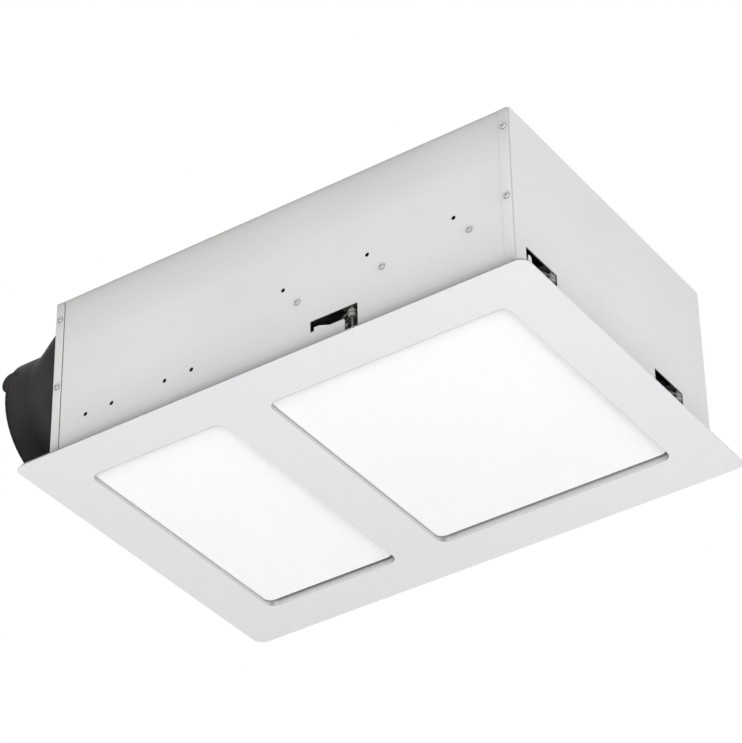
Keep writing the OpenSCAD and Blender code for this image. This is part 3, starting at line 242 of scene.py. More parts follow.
def shaded_tops(t, tint, colour):
    """Gives faces that look up a darker colour: the fascia's leaning rim and its upper side."""
    true = add(t, "NewGeometry")
    part = add(t, "SeparateXYZ", {0: true.outputs["Normal"]})
    share = add(t, "MapRange", {"Value": part.outputs["Z"], "From Min": 0.1, "From Max": 0.45})
    return mixed(t, share.outputs[0], tint, (*colour, 1))


print("shade for corners and upward faces ready")

# %% Helper: shaded bends
bend_share = 0.8


def shaded_bends(t, tint, colour):
    """Gives faces that look along none of the three axes a darker colour."""
    true = add(t, "NewGeometry")
    plus = add(t, "VectorMath", {0: true.outputs["Normal"]}, operation="ABSOLUTE")
    part = add(t, "SeparateXYZ", {0: plus.outputs[0]})
    largest = part.outputs["X"]
    for other in ("Y", "Z"):
        largest = maths(t, "MAXIMUM", largest, part.outputs[other])
    share = add(t, "MapRange", {"Value": largest, "From Min": 0.98, "From Max": 0.78, "To Max": bend_share})
    return mixed(t, share.outputs[0], tint, (*colour, 1))


print("bends shaded by", bend_share)

# %% Helper: shade by height
# height above the ceiling in metres, and the painted shade of the long walls there, as a share of their
# colour
WALL_SHADE = ((0.017, 0.52), (0.020, 0.62), (0.023, 0.74), (0.028, 0.92), (0.036, 1.0), (0.140, 0.98),
             (0.187, 0.84), (0.196, 0.78), (0.200, 0.72), (0.2035, 0.58))


def shaded_heights(t, tint, place, stops):
    """Multiplies the colour of faces that look along Y by a tone that changes with the height."""
    spot = add(t, "SeparateXYZ", {0: place})
    height = add(t, "MapRange", {"Value": spot.outputs["Z"], "From Max": roof_high})
    ramp = add(t, "ValToRGB", {"Fac": height.outputs[0]})
    marks = ramp.color_ramp.elements
    for mark, (high, tone) in zip(list(marks), (stops[0], stops[-1])):
        mark.position = high / roof_high
        mark.color = (tone, tone, tone, 1)
    for high, tone in stops[1:-1]:
        marks.new(high / roof_high).color = (tone, tone, tone, 1)
    true = add(t, "NewGeometry")
    part = add(t, "SeparateXYZ", {0: true.outputs["Normal"]})
    sideways = maths(t, "ABSOLUTE", part.outputs["Y"])
    return mixed(t, sideways, tint, ramp.outputs["Color"], "MULTIPLY")


print("wall tones", len(WALL_SHADE))

# %% [markdown]
# ## One surface
# All finishes share one recipe: patches of tone, varied gloss, a fine grain in the relief, worn
# edges and the shade of the cell above. A finish is then one call with its own numbers, all of them
# sizes in metres or shares of one.

# %% Helper: one surface


def surface(name, colour, rough, metal=0.0, grain=0.0006, bump=0.05, tone=0.03, patch=0.06,
            rough_var=0.05, coat=0.0, glass=0.0, ior=1.5, sub=0.0, crystals=0.0, wear=0.25, worn=None,
            shade=0.35, shade_reach=0.02, shade_bend=1.6, top=None, bends=None, heights=(), glow=0.0):
    """A procedural surface, kept in MATS under its name."""
    m = bpy.data.materials.new(name)
    m.use_nodes = True
    t = m.node_tree
    b = t.nodes["Principled BSDF"]
    b.inputs["Metallic"].default_value = metal
    b.inputs["IOR"].default_value = ior
    b.inputs["Coat Weight"].default_value = coat
    b.inputs["Coat Roughness"].default_value = 0.12
    b.inputs["Transmission Weight"].default_value = glass
    b.inputs["Subsurface Weight"].default_value = sub
    b.inputs["Subsurface Scale"].default_value = 0.004
    b.inputs["Subsurface Radius"].default_value = (1, 1, 1)
    place = add(t, "TexCoord").outputs["Object"]
    broad = add(t, "TexNoise", {"Vector": place, "Scale": 1 / patch, "Detail": 4})
    tint = patches(t, colour, tone, broad)
    if crystals:
        tint = zinc_crystals(t, tint, place, crystals)
    if wear:
        tint = worn_edges(t, tint, place, worn or [min(1.0, c * 1.25 + 0.02) for c in colour], wear)
    if shade:
        tint = shaded_corners(t, tint, shade, shade_reach, shade_bend)
    if top:
        tint = shaded_tops(t, tint, top)
    if heights:
        tint = shaded_heights(t, tint, place, heights)
    if bends:
        tint = shaded_bends(t, tint, bends)
    # glow: on the two panels a painted light that holds their white, on the floor a faint source of light
    if glow:
        b.inputs["Emission Color"].default_value = (*colour, 1)
        b.inputs["Emission Strength"].default_value = glow
    gloss = add(t, "MapRange", {"Value": broad.outputs["Fac"], "To Min": max(0.02, rough - rough_var),
                                "To Max": min(1.0, rough + rough_var)})
    fine = add(t, "TexNoise", {"Vector": place, "Scale": 1 / grain, "Detail": 3})
    relief = add(t, "Bump", {"Strength": bump, "Distance": grain * 0.4, "Height": fine.outputs["Fac"]})
    t.links.new(tint, b.inputs["Base Color"])
    t.links.new(gloss.outputs[0], b.inputs["Roughness"])
    t.links.new(relief.outputs[0], b.inputs["Normal"])
    MATS[name] = m


print("surface recipe ready")

# %% [markdown]
# ## Coated sheet
# The box and the fascia are powder coated in two whites, and the inside of the box is a grey-green
# primer, drawn very dark so that it also carries painted shade for the inside of the box. The whites
# cover most of the picture, so their patches are broad and faint.

# %% Coated sheet
# shade, top, bends and heights below paint shade into these colours: in corners, on faces that look up, on
# bends and by height on the long walls
surface("housing_white", (0.70, 0.70, 0.685), 0.42, grain=0.0012, bump=0.03, tone=0.025, patch=0.12,
        wear=0.15, shade=0.4, shade_reach=0.08, shade_bend=5.0, bends=(0.36, 0.36, 0.35),
        heights=WALL_SHADE)
surface("fascia_white", (0.80, 0.785, 0.80), 0.46, grain=0.0009, bump=0.03, tone=0.012, patch=0.2,
        wear=0.0, shade=0.75, shade_bend=1.5, top=(0.24, 0.235, 0.24), bends=(0.22, 0.215, 0.22))
surface("primer", (0.08, 0.083, 0.073), 0.6, metal=0.1, grain=0.0008, bump=0.08, tone=0.06, patch=0.05)
print("coats", list(MATS))

# %% [markdown]
# ## Bare metals
# Zinc-coated sheet is dull and crystalline, and the reflector is bright and smooth. The cast and
# pressed pieces of the clamps are darker, as the photograph shows them.

# %% Bare metals
surface("galvanised", (0.52, 0.53, 0.53), 0.38, metal=0.85, grain=0.0008, tone=0.05, patch=0.03,
        crystals=0.35)
surface("bright_reflector", (0.86, 0.86, 0.87), 0.16, metal=1.0, grain=0.002, bump=0.04, tone=0.02)
surface("zinc_steel", (0.45, 0.45, 0.44), 0.5, metal=0.6, grain=0.0004, bump=0.06, tone=0.06,
        patch=0.01, shade=0.3, shade_reach=0.0015)
surface("cast_zinc", (0.27, 0.27, 0.245), 0.5, metal=0.5, grain=0.0005, bump=0.12, tone=0.05, patch=0.01)
surface("dull_steel", (0.11, 0.11, 0.1), 0.5, metal=0.7, grain=0.0005, bump=0.12, tone=0.08, patch=0.02)
surface("cast_case", (0.55, 0.56, 0.57), 0.42, metal=0.9, grain=0.0005, bump=0.18, tone=0.05)
surface("bronze", (0.5, 0.33, 0.16), 0.4, metal=1.0, grain=0.0004, bump=0.1)
surface("element", (0.12, 0.1, 0.09), 0.5, metal=0.8, grain=0.0003, bump=0.1, tone=0.1)
print("with metals", len(MATS))

# %% [markdown]
# ## Plastics and rubber
# The duct adapter is black plastic with a spark texture. Its low IOR keeps it matt and dark, as in
# the photograph, where a usual plastic would shine more.

# %% Plastics and rubber
surface("black_plastic", (0.035, 0.031, 0.035), 0.5, grain=0.0005, bump=0.1, tone=0.15, patch=0.04,
        ior=1.12, worn=(0.06, 0.06, 0.06), shade=0.94, shade_reach=0.1, shade_bend=5.5)
surface("block_plastic", (0.82, 0.81, 0.77), 0.35, grain=0.0005, bump=0.06)
surface("rubber", (0.02, 0.02, 0.02), 0.75, grain=0.0004, bump=0.15)
surface("silicone", (0.6, 0.59, 0.57), 0.5, bump=0.08)
print("with plastics", len(MATS))

# %% [markdown]
# ## Glass, ceramic and floor
# The two panels let some light in under their surface, and each has a very faint glow, painted light
# that holds its white. The floor is pale, matt and glows faintly too.

# %% Glass, ceramic and floor
surface("frosted_glass", (0.985, 0.98, 0.99), 0.3, grain=0.0004, bump=0.02, tone=0.004, patch=0.1,
        coat=0.15, wear=0.1, shade=0.0, sub=0.4, glow=0.03)
surface("opal", (0.985, 0.98, 0.99), 0.32, grain=0.0005, bump=0.02, tone=0.004, patch=0.1, wear=0.1,
        shade=0.0, sub=0.4, glow=0.05)
surface("quartz", (0.95, 0.96, 0.98), 0.06, glass=0.95, ior=1.46, bump=0.02, tone=0.0, rough_var=0.02)
surface("ceramic", (0.83, 0.81, 0.76), 0.55, bump=0.1)
surface("led_yellow", (0.85, 0.68, 0.2), 0.3, grain=0.0002)
surface("floor_pale", (0.8, 0.8, 0.8), 0.8, grain=0.01, bump=0.02, tone=0.02, patch=0.8, glow=0.2)
print("materials", len(MATS))

# %% Finishes of the measured solids
slot_of = {s["node"]: s["material_slot"] for s in frame["record"]["subparts"]}
for name, o in nodes.items():
    o.data.materials.clear()
    o.data.materials.append(MATS[slot_of[name]])
print("slots used", len(set(slot_of.values())))

# %% [markdown]
# ## From millimetres to pieces
# Sheet metal sizes are easiest to read in millimetres, so every piece is drawn in millimetres
# and only turned into metres at the end.
# A piece is a mesh with one finish, or with a second one on its inside. It rides on the body that
# carries it, and it hides the measured solids that it stands for.


def piece(name, bm, finish, body="housing", stands_for=(), ease=0.0, thick=0.0, inner=None, flat=32):
    """Turns a drawing in millimetres into an object with its finish, edges and body."""
    mesh = bpy.data.meshes.new(name)
    bmesh.ops.scale(bm, vec=(mm, mm, mm), verts=bm.verts)
    if not thick:
        bmesh.ops.recalc_face_normals(bm, faces=bm.faces)
    bm.to_mesh(mesh)
    bm.free()
    mesh.shade_smooth()
    obj = bpy.data.objects.new(name, mesh)
    scene.collection.objects.link(obj)
    mesh.materials.append(MATS[finish])
    if inner:
        mesh.materials.append(MATS[inner])
    if thick:
        wall = obj.modifiers.new("sheet", "SOLIDIFY")
        wall.thickness = thick * mm
        wall.offset = -1
        wall.use_even_offset = True
        wall.use_quality_normals = True
        if inner:
            wall.material_offset = 1
    if ease:
        edge = obj.modifiers.new("edges", "BEVEL")
        edge.width = ease * mm
        edge.segments = 2
        edge.limit_method = "ANGLE"
        edge.angle_limit = math.radians(flat)
    even = obj.modifiers.new("flats", "WEIGHTED_NORMAL")
    even.keep_sharp = True
    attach(obj, body)
    if stands_for:
        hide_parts(*stands_for)
    return obj


# %% [markdown]
# Most outlines here are straight lines and arcs, and most round things are an outline turned about
# an axis. A few small helpers draw both, and a loft joins any rings that have as many points.

# %% Helpers: outlines and skins


def arc(cx, cy, r, a0, a1, n=8):
    """Points of an arc from angle a0 to a1, in degrees."""
    return [(cx + r * math.cos(math.radians(a0 + (a1 - a0) * k / n)),
             cy + r * math.sin(math.radians(a0 + (a1 - a0) * k / n))) for k in range(n + 1)]


def round_loop(x0, x1, y0, y1, r, n=8):
    """A rectangle with round corners, anticlockwise."""
    return (arc(x1 - r, y0 + r, r, -90, 0, n) + arc(x1 - r, y1 - r, r, 0, 90, n)
            + arc(x0 + r, y1 - r, r, 90, 180, n) + arc(x0 + r, y0 + r, r, 180, 270, n))


def ring_point(r, k, n):
    """Point k of n on a circle about the origin."""
    a = 2 * math.pi * k / n
    return r * math.cos(a), r * math.sin(a)


def hole(cx, cy, r, n=28):
    """A round hole as a loop of points."""
    return [(cx + x, cy + y) for x, y in [ring_point(r, k, n) for k in range(n)]]


def loft(bm, rings, cap=(False, False)):
    """A skin over rings that have the same number of points."""
    rows = [[bm.verts.new(p) for p in ring] for ring in rings]
    n = len(rows[0])
    for a, b in zip(rows, rows[1:]):
        for k in range(n):
            bm.faces.new((a[k], a[(k + 1) % n], b[(k + 1) % n], b[k]))
    if cap[0]:
        bm.faces.new(rows[0][::-1])
    if cap[1]:
        bm.faces.new(rows[-1])
    return rows


def lathe(bm, outline, n, place=Matrix.Identity(4), cap=(True, True)):
    """Turns an outline of (radius, height) points about the Z axis, then puts it in place."""
    rings = [[place @ Vector((*ring_point(r, k, n), h)) for k in range(n)] for r, h in outline]
    loft(bm, rings, cap)


def block(bm, lo, hi, ease=0.0, place=Matrix.Identity(4)):
    """A block between two corners with its edges broken."""
    new = bmesh.ops.create_cube(bm, size=1)["verts"]
    for v in new:
        v.co = Vector([lo[k] if v.co[k] < 0 else hi[k] for k in range(3)])
    if ease:
        edges = list(dict.fromkeys(e for v in new for e in v.link_edges))
        done = bmesh.ops.bevel(bm, geom=edges, offset=ease, segments=2, profile=0.5, affect="EDGES")
        new = list({v for f in done["faces"] for v in f.verts} | {v for v in new if v.is_valid})
    for v in new:
        v.co = place @ v.co


print("helpers ready")

# %% [markdown]
# ## Sizes of the folded box
# The box is folded from 1 mm steel with a powder coat outside and a thin grey-green primer inside.
# The roof's height is read from the measured part. The other outside sizes and the hole places
# repeat the part's own numbers, and the bends and reliefs are chosen here.

# %% Box sizes
roof = roof_high / mm
sheet = 1.0
half_x = 276.0
half_y = 185.0
wall_y = half_y - sheet
flange = 12.0
strip = 12.0
pivot_in = 2.5
quarter = math.pi / 2
print("roof at", round(roof, 2), "mm")

# %% Places of screws and clamps
screw_hole_r = 2.0
tray_mid, pitch_x, tray_screw_z = 127.5, 99.0, 77.0
strip_x, strip_z = half_x - 6.5, (98.0, 182.5)
duct_y, duct_z, boss_half = -102.0, 122.5, 62.4
box_screw_y, box_screw_z = (-4.0, 90.0), 153.0
lid_screw_y, lid_screw_z, box_deep = (0.0, 86.0), 126.0, 38.0
fan_x, fan_y, hang_r, scroll_high = -180.0, -32.0, 48.0, 198.0
# turn, place along the wall and distance of the wall's outer face, for each clamp
CLAMPS = {"front": (0, 91.2, wall_y), "back": (180, 91.2, wall_y), "near": (90, -118.1, half_x),
          "far": (90, 121.0, half_x), "left": (270, -118.0, half_x)}
print("clamps", list(CLAMPS))

# %% [markdown]
# ## Sheet metal that is really folded
# A folded wall is cut flat first, holes and windows included, and then bent.
# The drawing does the same: a flat outline is filled, cut into narrow strips where it bends,
# and rolled round the bend's radius. Holes and windows near a bend roll with the sheet.

# %% Helper: cut, fold, place


def folded_sheet(name, outline, holes, folds, turn, dist, stands_for, steps=()):
    """Flat outline and holes in (u, v); a fold is (axis, start, way, radius, turn outwards), a step
    is (axis, start, way, run, depth)."""
    bm = bmesh.new()
    edges = []
    for loop in [outline] + holes:
        row = [bm.verts.new((u, v, 0)) for u, v in loop]
        edges += [bm.edges.new((row[k - 1], row[k])) for k in range(len(row))]
    bmesh.ops.triangle_fill(bm, edges=edges, use_beauty=True, normal=(0, 0, 1))
    cuts = [(axis, start + way * radius * quarter * k / 6)
            for axis, start, way, radius, out in folds for k in range(7)]
    cuts += [(axis, start - way * run * k) for axis, start, way, run, deep in steps for k in range(2)]
    for axis, at in cuts:
        co, no = [0, 0, 0], [0, 0, 0]
        co[axis] = at
        no[axis] = 1
        everything = bm.verts[:] + bm.edges[:] + bm.faces[:]
        bmesh.ops.bisect_plane(bm, geom=everything, plane_co=co, plane_no=no)
    spin = Matrix.Rotation(math.radians(turn), 4, "Z")
    for vert in bm.verts:
        p = [vert.co.x, vert.co.y]
        rise = 0.0
        for axis, start, way, run, deep in steps:
            rise -= deep * min(1.0, max(0.0, 1 + (p[axis] - start) * way / run))
        for axis, start, way, radius, out in folds:
            past = (p[axis] - start) * way
            if past > 0:
                a = min(past / radius, quarter)
                rise += out * (radius * (1 - math.cos(a)) + max(0.0, past - radius * quarter))
                p[axis] = start + way * radius * math.sin(a)
        vert.co = spin @ Vector((p[0], -dist - rise, p[1]))
    return piece(name, bm, "housing_white", "housing", stands_for, ease=0.12, thick=sheet,
                 inner="primer", flat=50)


print("helper for folded sheet ready")

# %% [markdown]
# ## The clamps' windows
# Behind each window an arm swings out at the height of its wide part, and a deep slot lets the arm
# come down. A notch in the fold leaves room for the collar of the clamp's screw.
# The long walls have the window with the sheet that stands in its lower part, as the measured part
# has it everywhere. On the end plates it is drawn without that sheet, or with a narrow tongue of it,
# because the photograph shows the near and the far window of the right plate so.

# %% Clamp windows
win_right, win_left, win_top, win_foot = 7.6, -47.4, 46.4, 1.3
win_corner = 0.6
slot_left = win_right - 15.0
notch_half, notch_low = 4.5, -1.5
tongue_low, tongue_r = 20.0, 3.0


def window_top():
    """The window's right side and its two upper corners."""
    return ([(win_right, win_foot), (win_right, win_top)]
            + arc(win_right - win_corner, win_top, win_corner, 0, 90, 3)
            + arc(win_left + win_corner, win_top, win_corner, 90, 180, 3))


def window_notch():
    """The notch in the fold below the slot."""
    return [(-notch_half, win_foot), (-notch_half, notch_low), (notch_half, notch_low),
            (notch_half, win_foot)]


def window(at):
    """The clamp's window: a wide part for the arm's swing and a deep slot for its travel."""
    pts = window_top() + [(win_left, 34.0), (win_left + 4.3, 34.0), (win_left + 4.3, 38.4)]
    pts += [(win_left + 10, 38.4), (win_left + 23, 33.8)] + arc(slot_left - 2, 31.8, 2, 90, 0, 4)
    pts += [(slot_left, win_foot)] + window_notch()
    return [(at + a, b) for a, b in pts]


def plain_window(at, tongue):
    """The same window without the sheet in its lower part, or with a narrow tongue of it."""
    pts = window_top() + [(win_left, tongue_low)]
    if tongue:
        pts += [(win_left + 3.2, tongue_low)] + arc(win_left + 6.2, 37.2, tongue_r, 180, 0, 8)
        pts += [(win_left + 9.2, tongue_low)]
    pts += [(slot_left, 18.0), (slot_left, win_foot)] + window_notch()
    return [(at + a, b) for a, b in pts]


print("window points", len(window(0)), "and", len(plain_window(0, True)))

# %% [markdown]
# ## The long walls
# The front wall carries three screws for the heater's pan with three open holes above them, four
# small holes at the lower left and one clamp window. Its lower edge turns out into the ceiling
# flange and its upper edge turns in over a tight bend. Both walls are drawn 0.7 mm further out than
# the measured ones, because the photograph shows them almost flush with the end plates' strips.
# The back wall is the same blank turned round, with the screws and holes of the pan mirrored.

# %% Front and back wall
top_bend = 1.6
flange_bend = 1.0
lip_in = 9.0
play = 0.2
open_hole_r = 2.4
open_row_z, open_row_back, open_row_shift = 98.6, 17, 0.2
low_mid, low_half, low_z = -164.7, 16.5, 49.7
ceiling_screw_x, ceiling_hole_r = 250.0, 2.25
# the wall steps inwards under the end plates' strips; the left strip has a wider gap beside it,
# which shows as a shadow line
flush = 0.7
joggle_run, joggle_deep = 0.2, 1.0
gap_left, gap_right = 0.7, -0.1


def long_wall(name, turn, side, node):
    """A long wall, turned to its side of the box; side mirrors the places of the pan's screws."""
    end = half_x - sheet - play
    low = flange_bend - flange_bend * quarter - (flange + sheet - flange_bend)
    high = roof - top_bend + top_bend * quarter + lip_in
    flange_end = half_x - strip - 0.6
    notch = flange_bend + play
    outline = [(-flange_end, low), (flange_end, low), (flange_end, notch), (end, notch), (end, high),
               (-end, high), (-end, notch), (-flange_end, notch)]
    holes = [window(CLAMPS["front"][1])]
    for k in (-1, 0, 1):
        holes.append(hole(side * (tray_mid + k * pitch_x), tray_screw_z, screw_hole_r))
        open_x = side * (tray_mid - open_row_back + k * pitch_x) + open_row_shift
        holes.append(hole(open_x, open_row_z, open_hole_r))
    for k in (-1, 1):
        for m in (-1, 1):
            holes.append(hole(low_mid + k * pitch_x / 2 + m * low_half, low_z, open_hole_r))
    holes += [hole(s * strip_x, z, screw_hole_r) for s in (-1, 1) for z in strip_z]
    drop = flange_bend * quarter - flange_bend
    flange_mid = -(half_y + flange / 2 - wall_y) + flange_bend - drop
    holes += [hole(s * ceiling_screw_x, flange_mid, ceiling_hole_r) for s in (-1, 1)]
    folds = [(1, flange_bend, -1, flange_bend, 1), (1, roof - top_bend, 1, top_bend, -1)]
    steps = [(0, s * side * (half_x - strip - gap), s * side, joggle_run, joggle_deep + gap)
             for s, gap in ((-1, gap_left), (1, gap_right))]
    return folded_sheet(name, outline, holes, folds, turn, wall_y + flush, (node,), steps)


front = long_wall("front_wall_sheet", 0, 1, "front_wall")
back = long_wall("back_wall_sheet", 180, -1, "back_wall")
print("long walls", [o.name for o in (front, back)])

# %% [markdown]
# ## The end plates
# Each end plate wraps 12 mm round the long walls and is screwed there, so its corner is a true bend.
# The right plate has two clamp windows. The left one has one window, the port for the duct and the
# openings for the supply.

# %% End plates
corner_bend = 3.2
strip_low, wrap_low = 0.9, 0.1
port_half, port_corner = 72.7, 45
cable_y, cable_r = 43.0, 14.0


def end_plate(name, turn, windows, extra, node):
    """An end plate with its wrapped strips; the first of its windows has the tongue."""
    fold_at = half_y - corner_bend
    wide = fold_at + corner_bend * quarter + strip - corner_bend
    low = flange_bend - flange_bend * quarter - (flange - flange_bend)
    top = roof - strip_low
    high = roof - wrap_low
    notch = flange_bend + play
    middle = fold_at - 0.5
    outline = [(-wall_y, low), (wall_y, low), (wall_y, notch), (wide, notch), (wide, top), (middle, top),
               (middle, high), (-middle, high), (-middle, top), (-wide, top), (-wide, notch),
               (-wall_y, notch)]
    holes = [plain_window(w, k == 0) for k, w in enumerate(windows)] + extra
    across = half_x - strip_x - corner_bend
    screw_u = fold_at + corner_bend * quarter + across
    holes += [hole(s * screw_u, z, screw_hole_r) for s in (-1, 1) for z in strip_z]
    folds = [(0, fold_at, 1, corner_bend, -1), (0, -fold_at, -1, corner_bend, -1),
             (1, flange_bend, -1, flange_bend, 1)]
    return folded_sheet(name, outline, holes, folds, turn, half_x, (node,))


port = round_loop(-duct_y - port_half, -duct_y + port_half, duct_z - port_half, duct_z + port_half,
                  port_corner, 12)
supply = [hole(-cable_y, lid_screw_z, cable_r)]
supply += [hole(-y, box_screw_z, screw_hole_r) for y in box_screw_y]
bosses = [hole(-duct_y + a * boss_half, duct_z + b * boss_half, screw_hole_r)
          for a in (-1, 1) for b in (-1, 1)]
right_windows = (CLAMPS["near"][1], CLAMPS["far"][1])
left_windows = (CLAMPS["left"][1],)
right_end = end_plate("right_end_sheet", 90, right_windows, [], "right_end_plate")
left_end = end_plate("left_end_sheet", 270, left_windows, [port] + supply + bosses, "left_end_plate")
print("end plates", right_end.name, left_end.name)

# %% [markdown]
# ## The roof
# The roof closes the box between the two turned-in edges. A shallow groove, pressed in a ring, would
# keep a thin sheet this size from drumming. It is a guess: the photograph shows only the roof's edge.

# %% Roof
# inset from the roof's edge and height above its face, from the edge inwards
GROOVE = ((0, 0), (28, 0), (31, -0.25), (34, -0.7), (40, -0.7), (43, -0.25), (46, 0))


def roof_sheet():
    """The roof as rings from its edge to its middle, with the groove on the way."""
    bm = bmesh.new()
    wide = half_x - sheet - 0.1
    deep = wall_y - top_bend - lip_in - 0.3
    rings = []
    for d, dip in GROOVE:
        loop = round_loop(d - wide, wide - d, d - deep, deep - d, 0.6 + d * 0.3, 6)
        rings.append([(x, y, roof + dip) for x, y in loop])
    loft(bm, rings, (False, True))
    bm.normal_update()
    for f in bm.faces:
        if f.normal.z < 0:
            f.normal_flip()
    return piece("roof_sheet", bm, "housing_white", stands_for=("top_plate",), ease=0.12, thick=sheet,
                 inner="primer", flat=50)


roof_piece = roof_sheet()
print("roof", roof_piece.name)

# %% [markdown]
# ## The fascia
# The fascia is the plate that the room sees: pressed from 1.2 mm steel, with a soft outer edge turned
# up 4 mm and two openings whose edges turn up inside. It is drawn as one skin, from ring to ring,
# so the bends keep the same radius all the way round, and then given its thickness.

# %% Fascia skin
face_z = -4.0
rim_r = 0.5
rim_lean = math.radians(33)
rim_high = 3.9
lip_r = 0.7
lip_top = 9.0
plate_t = 1.2
half_long, half_short, plate_corner = 300, 210, 12
openings = {"heater": (-28.2, 245.6), "lamp": (-245.6, -82.8)}
open_y, open_r = 155.3, 11.0


def bend_up(r, reach, n):
    """A bend of radius r up from the face, to the angle reach, as (run, height)."""
    return [(r * math.sin(a), face_z + r * (1 - math.cos(a))) for a in [reach * k / n for k in range(n + 1)]]


def rim_profile():
    """The plate's outer edge: (inset, height) round the bend and along the leaning rim."""
    straight_up = rim_high - rim_r * (1 + math.sin(rim_lean))
    tip = rim_r - rim_r * math.cos(rim_lean) + straight_up * math.tan(rim_lean)
    bend = bend_up(rim_r, quarter + rim_lean, 7)
    return [(rim_r - run, z) for run, z in bend] + [(tip, face_z + rim_high)]


def lip_profile():
    """An opening's edge: (inset, height) round the bend and up the lip."""
    return [(run - lip_r, z) for run, z in bend_up(lip_r, quarter, 5)] + [(0, lip_top)]


def first_ring_edges(bm, rings):
    """Lofts the rings and gives the edges of the first one, where the flat face starts."""
    first = loft(bm, rings)[0]
    return [bm.edges.get((first[k - 1], first[k])) for k in range(len(first))]


def fascia_skin():
    """The fascia's skin: the rim, the lips of the openings and the flat face between them."""
    bm = bmesh.new()
    outer = []
    for d, z in rim_profile():
        long, short = half_long - d, half_short - d
        loop = round_loop(-long, long, -short, short, plate_corner - d, 12)
        outer.append([(x, y, z) for x, y in loop])
    edges = first_ring_edges(bm, outer)
    for x0, x1 in openings.values():
        inner = []
        for d, z in lip_profile():
            loop = round_loop(x0 + d, x1 - d, -open_y + d, open_y - d, open_r - d, 10)
            inner.append([(x, y, z) for x, y in loop])
        edges += first_ring_edges(bm, inner)
    bmesh.ops.triangle_fill(bm, edges=edges, use_beauty=True, normal=(0, 0, -1))
    bmesh.ops.recalc_face_normals(bm, faces=bm.faces)
    bm.normal_update()
    face = min(bm.faces, key=lambda f: f.calc_center_median().z)
    if face.normal.z > 0:
        bmesh.ops.reverse_faces(bm, faces=bm.faces)
    return piece("fascia_plate", bm, "fascia_white", "fascia_panel", ("fascia",), ease=0.15,
                 thick=plate_t, flat=50)


fascia_plate = fascia_skin()
print("fascia", fascia_plate.name)

# %% [markdown]
# Behind the skin sit the turned ledges that carry the two panels, and a post with a peg for each of
# the four wire springs. They show only when the fascia hangs down on its springs.

# %% Fascia ledges and spring posts
spring_y, peg_z = 170.0, 8.0
SPRINGS = ((-100, -1), (190, -1), (100, 1), (-190, 1))


def fascia_fittings():
    """The ledges on both sides of the openings and the springs' posts with their pegs."""
    bm = bmesh.new()
    for x0, x1 in openings.values():
        for lo, hi in ((x0 - 6, x0 - 0.6), (x1 + 0.6, x1 + 6)):
            block(bm, (lo, -135, lip_top - 1.2), (hi, 135, lip_top), 0.3)
    for x, s in SPRINGS:
        ys = sorted((s * (spring_y + 3.4), s * (spring_y + 5)))
        block(bm, (x - 6, ys[0], -2.9), (x + 6, ys[1], peg_z + 5), 0.5)
        place = Matrix.Translation((x, s * (spring_y + 4), peg_z))
        place = place @ Matrix.Rotation(math.radians(90 * s), 4, "X")
        lathe(bm, [(2.8, 0), (2.8, 7.6), (2.4, 8)], 28, place)
    return piece("fascia_fittings", bm, "fascia_white", "fascia_panel")


fascia_fittings()
print("springs at", SPRINGS)

# %% [markdown]
# ## The two panels
# The large panel is taken as heat-resistant frosted glass and the small one as an opal plastic
# diffuser. Both sit about 4 mm deep in their openings and leave an air gap along their front and rear
# edges, through which the fan would draw. Real panels have ground or moulded edges, so each edge is
# rounded.
# The panels are drawn 1.4 mm lower and a little longer than the measured solids, because the
# photograph shows narrower bands round them than the solids would.

# %% Panels
# the panels sit a little toward the front, so their rear gap is the wider one
panel_y0, panel_y1 = -open_y + 4.9, open_y - 5.7
panel_low = 0.2
left_gap, right_gap = 0.3, 0.5


def panel_loop(x0, x1, y0, y1, d, r_front=4.0, r_back=9.0, n=10):
    """The outline of a panel, d inside its edges, with tighter corners at the front."""
    f, r = r_front - d, r_back - d
    x0, x1, y0, y1 = x0 + d, x1 - d, y0 + d, y1 - d
    return (arc(x1 - f, y0 + f, f, -90, 0, n) + arc(x1 - r, y1 - r, r, 0, 90, n)
            + arc(x0 + r, y1 - r, r, 90, 180, n) + arc(x0 + f, y0 + f, f, 180, 270, n))


def panel(name, x0, x1, z0, z1, ease, finish, node):
    """A panel between two heights, its lower and upper edges rounded by ease."""
    bm = bmesh.new()
    rings = []
    for a in [quarter * k / 5 for k in range(6)]:
        d, z = ease * (1 - math.sin(a)), z0 + ease * (1 - math.cos(a))
        rings.append([(x, y, z) for x, y in panel_loop(x0, x1, panel_y0, panel_y1, d)])
    for a in [quarter * k / 5 for k in range(6)]:
        d, z = ease * (1 - math.cos(a)), z1 - ease * (1 - math.sin(a))
        rings.append([(x, y, z) for x, y in panel_loop(x0, x1, panel_y0, panel_y1, d)])
    loft(bm, rings, (True, True))
    return piece(name, bm, finish, "fascia_panel", node)


glass_x0, glass_x1 = openings["heater"][0] + left_gap, openings["heater"][1] - right_gap
opal_x0, opal_x1 = openings["lamp"][0] + left_gap, openings["lamp"][1] - right_gap
panel("heater_glass_plate", glass_x0, glass_x1, panel_low, 5.6, 1.0, "frosted_glass", ("heater_glass",))
panel("lamp_diffuser_plate", opal_x0, opal_x1, panel_low, 4.6, 0.8, "opal", ("light_diffuser",))
print("panels", round(panel_y1 - panel_y0, 1), "mm long")

# %% [markdown]
# ## The duct adapter
# One moulding in black plastic with a fine spark texture: a square foot on the end plate, a body that
# changes from a rounded square to a circle, and a straight spigot with a softly rolled mouth.
# It is lofted, ring by ring, because no single primitive changes its outline on the way.

# %% Duct adapter
mouth_x, straight = -347.0, 29.7
duct_r, bore_r = 73.5, 71.5


def square_ring(x, half, r, n=14):
    """A rounded square about the duct's axis, in the plane x."""
    loop = round_loop(-half, half, -half, half, min(r, half - 0.001), n)
    return [(x, duct_y + p, duct_z + q) for p, q in loop]


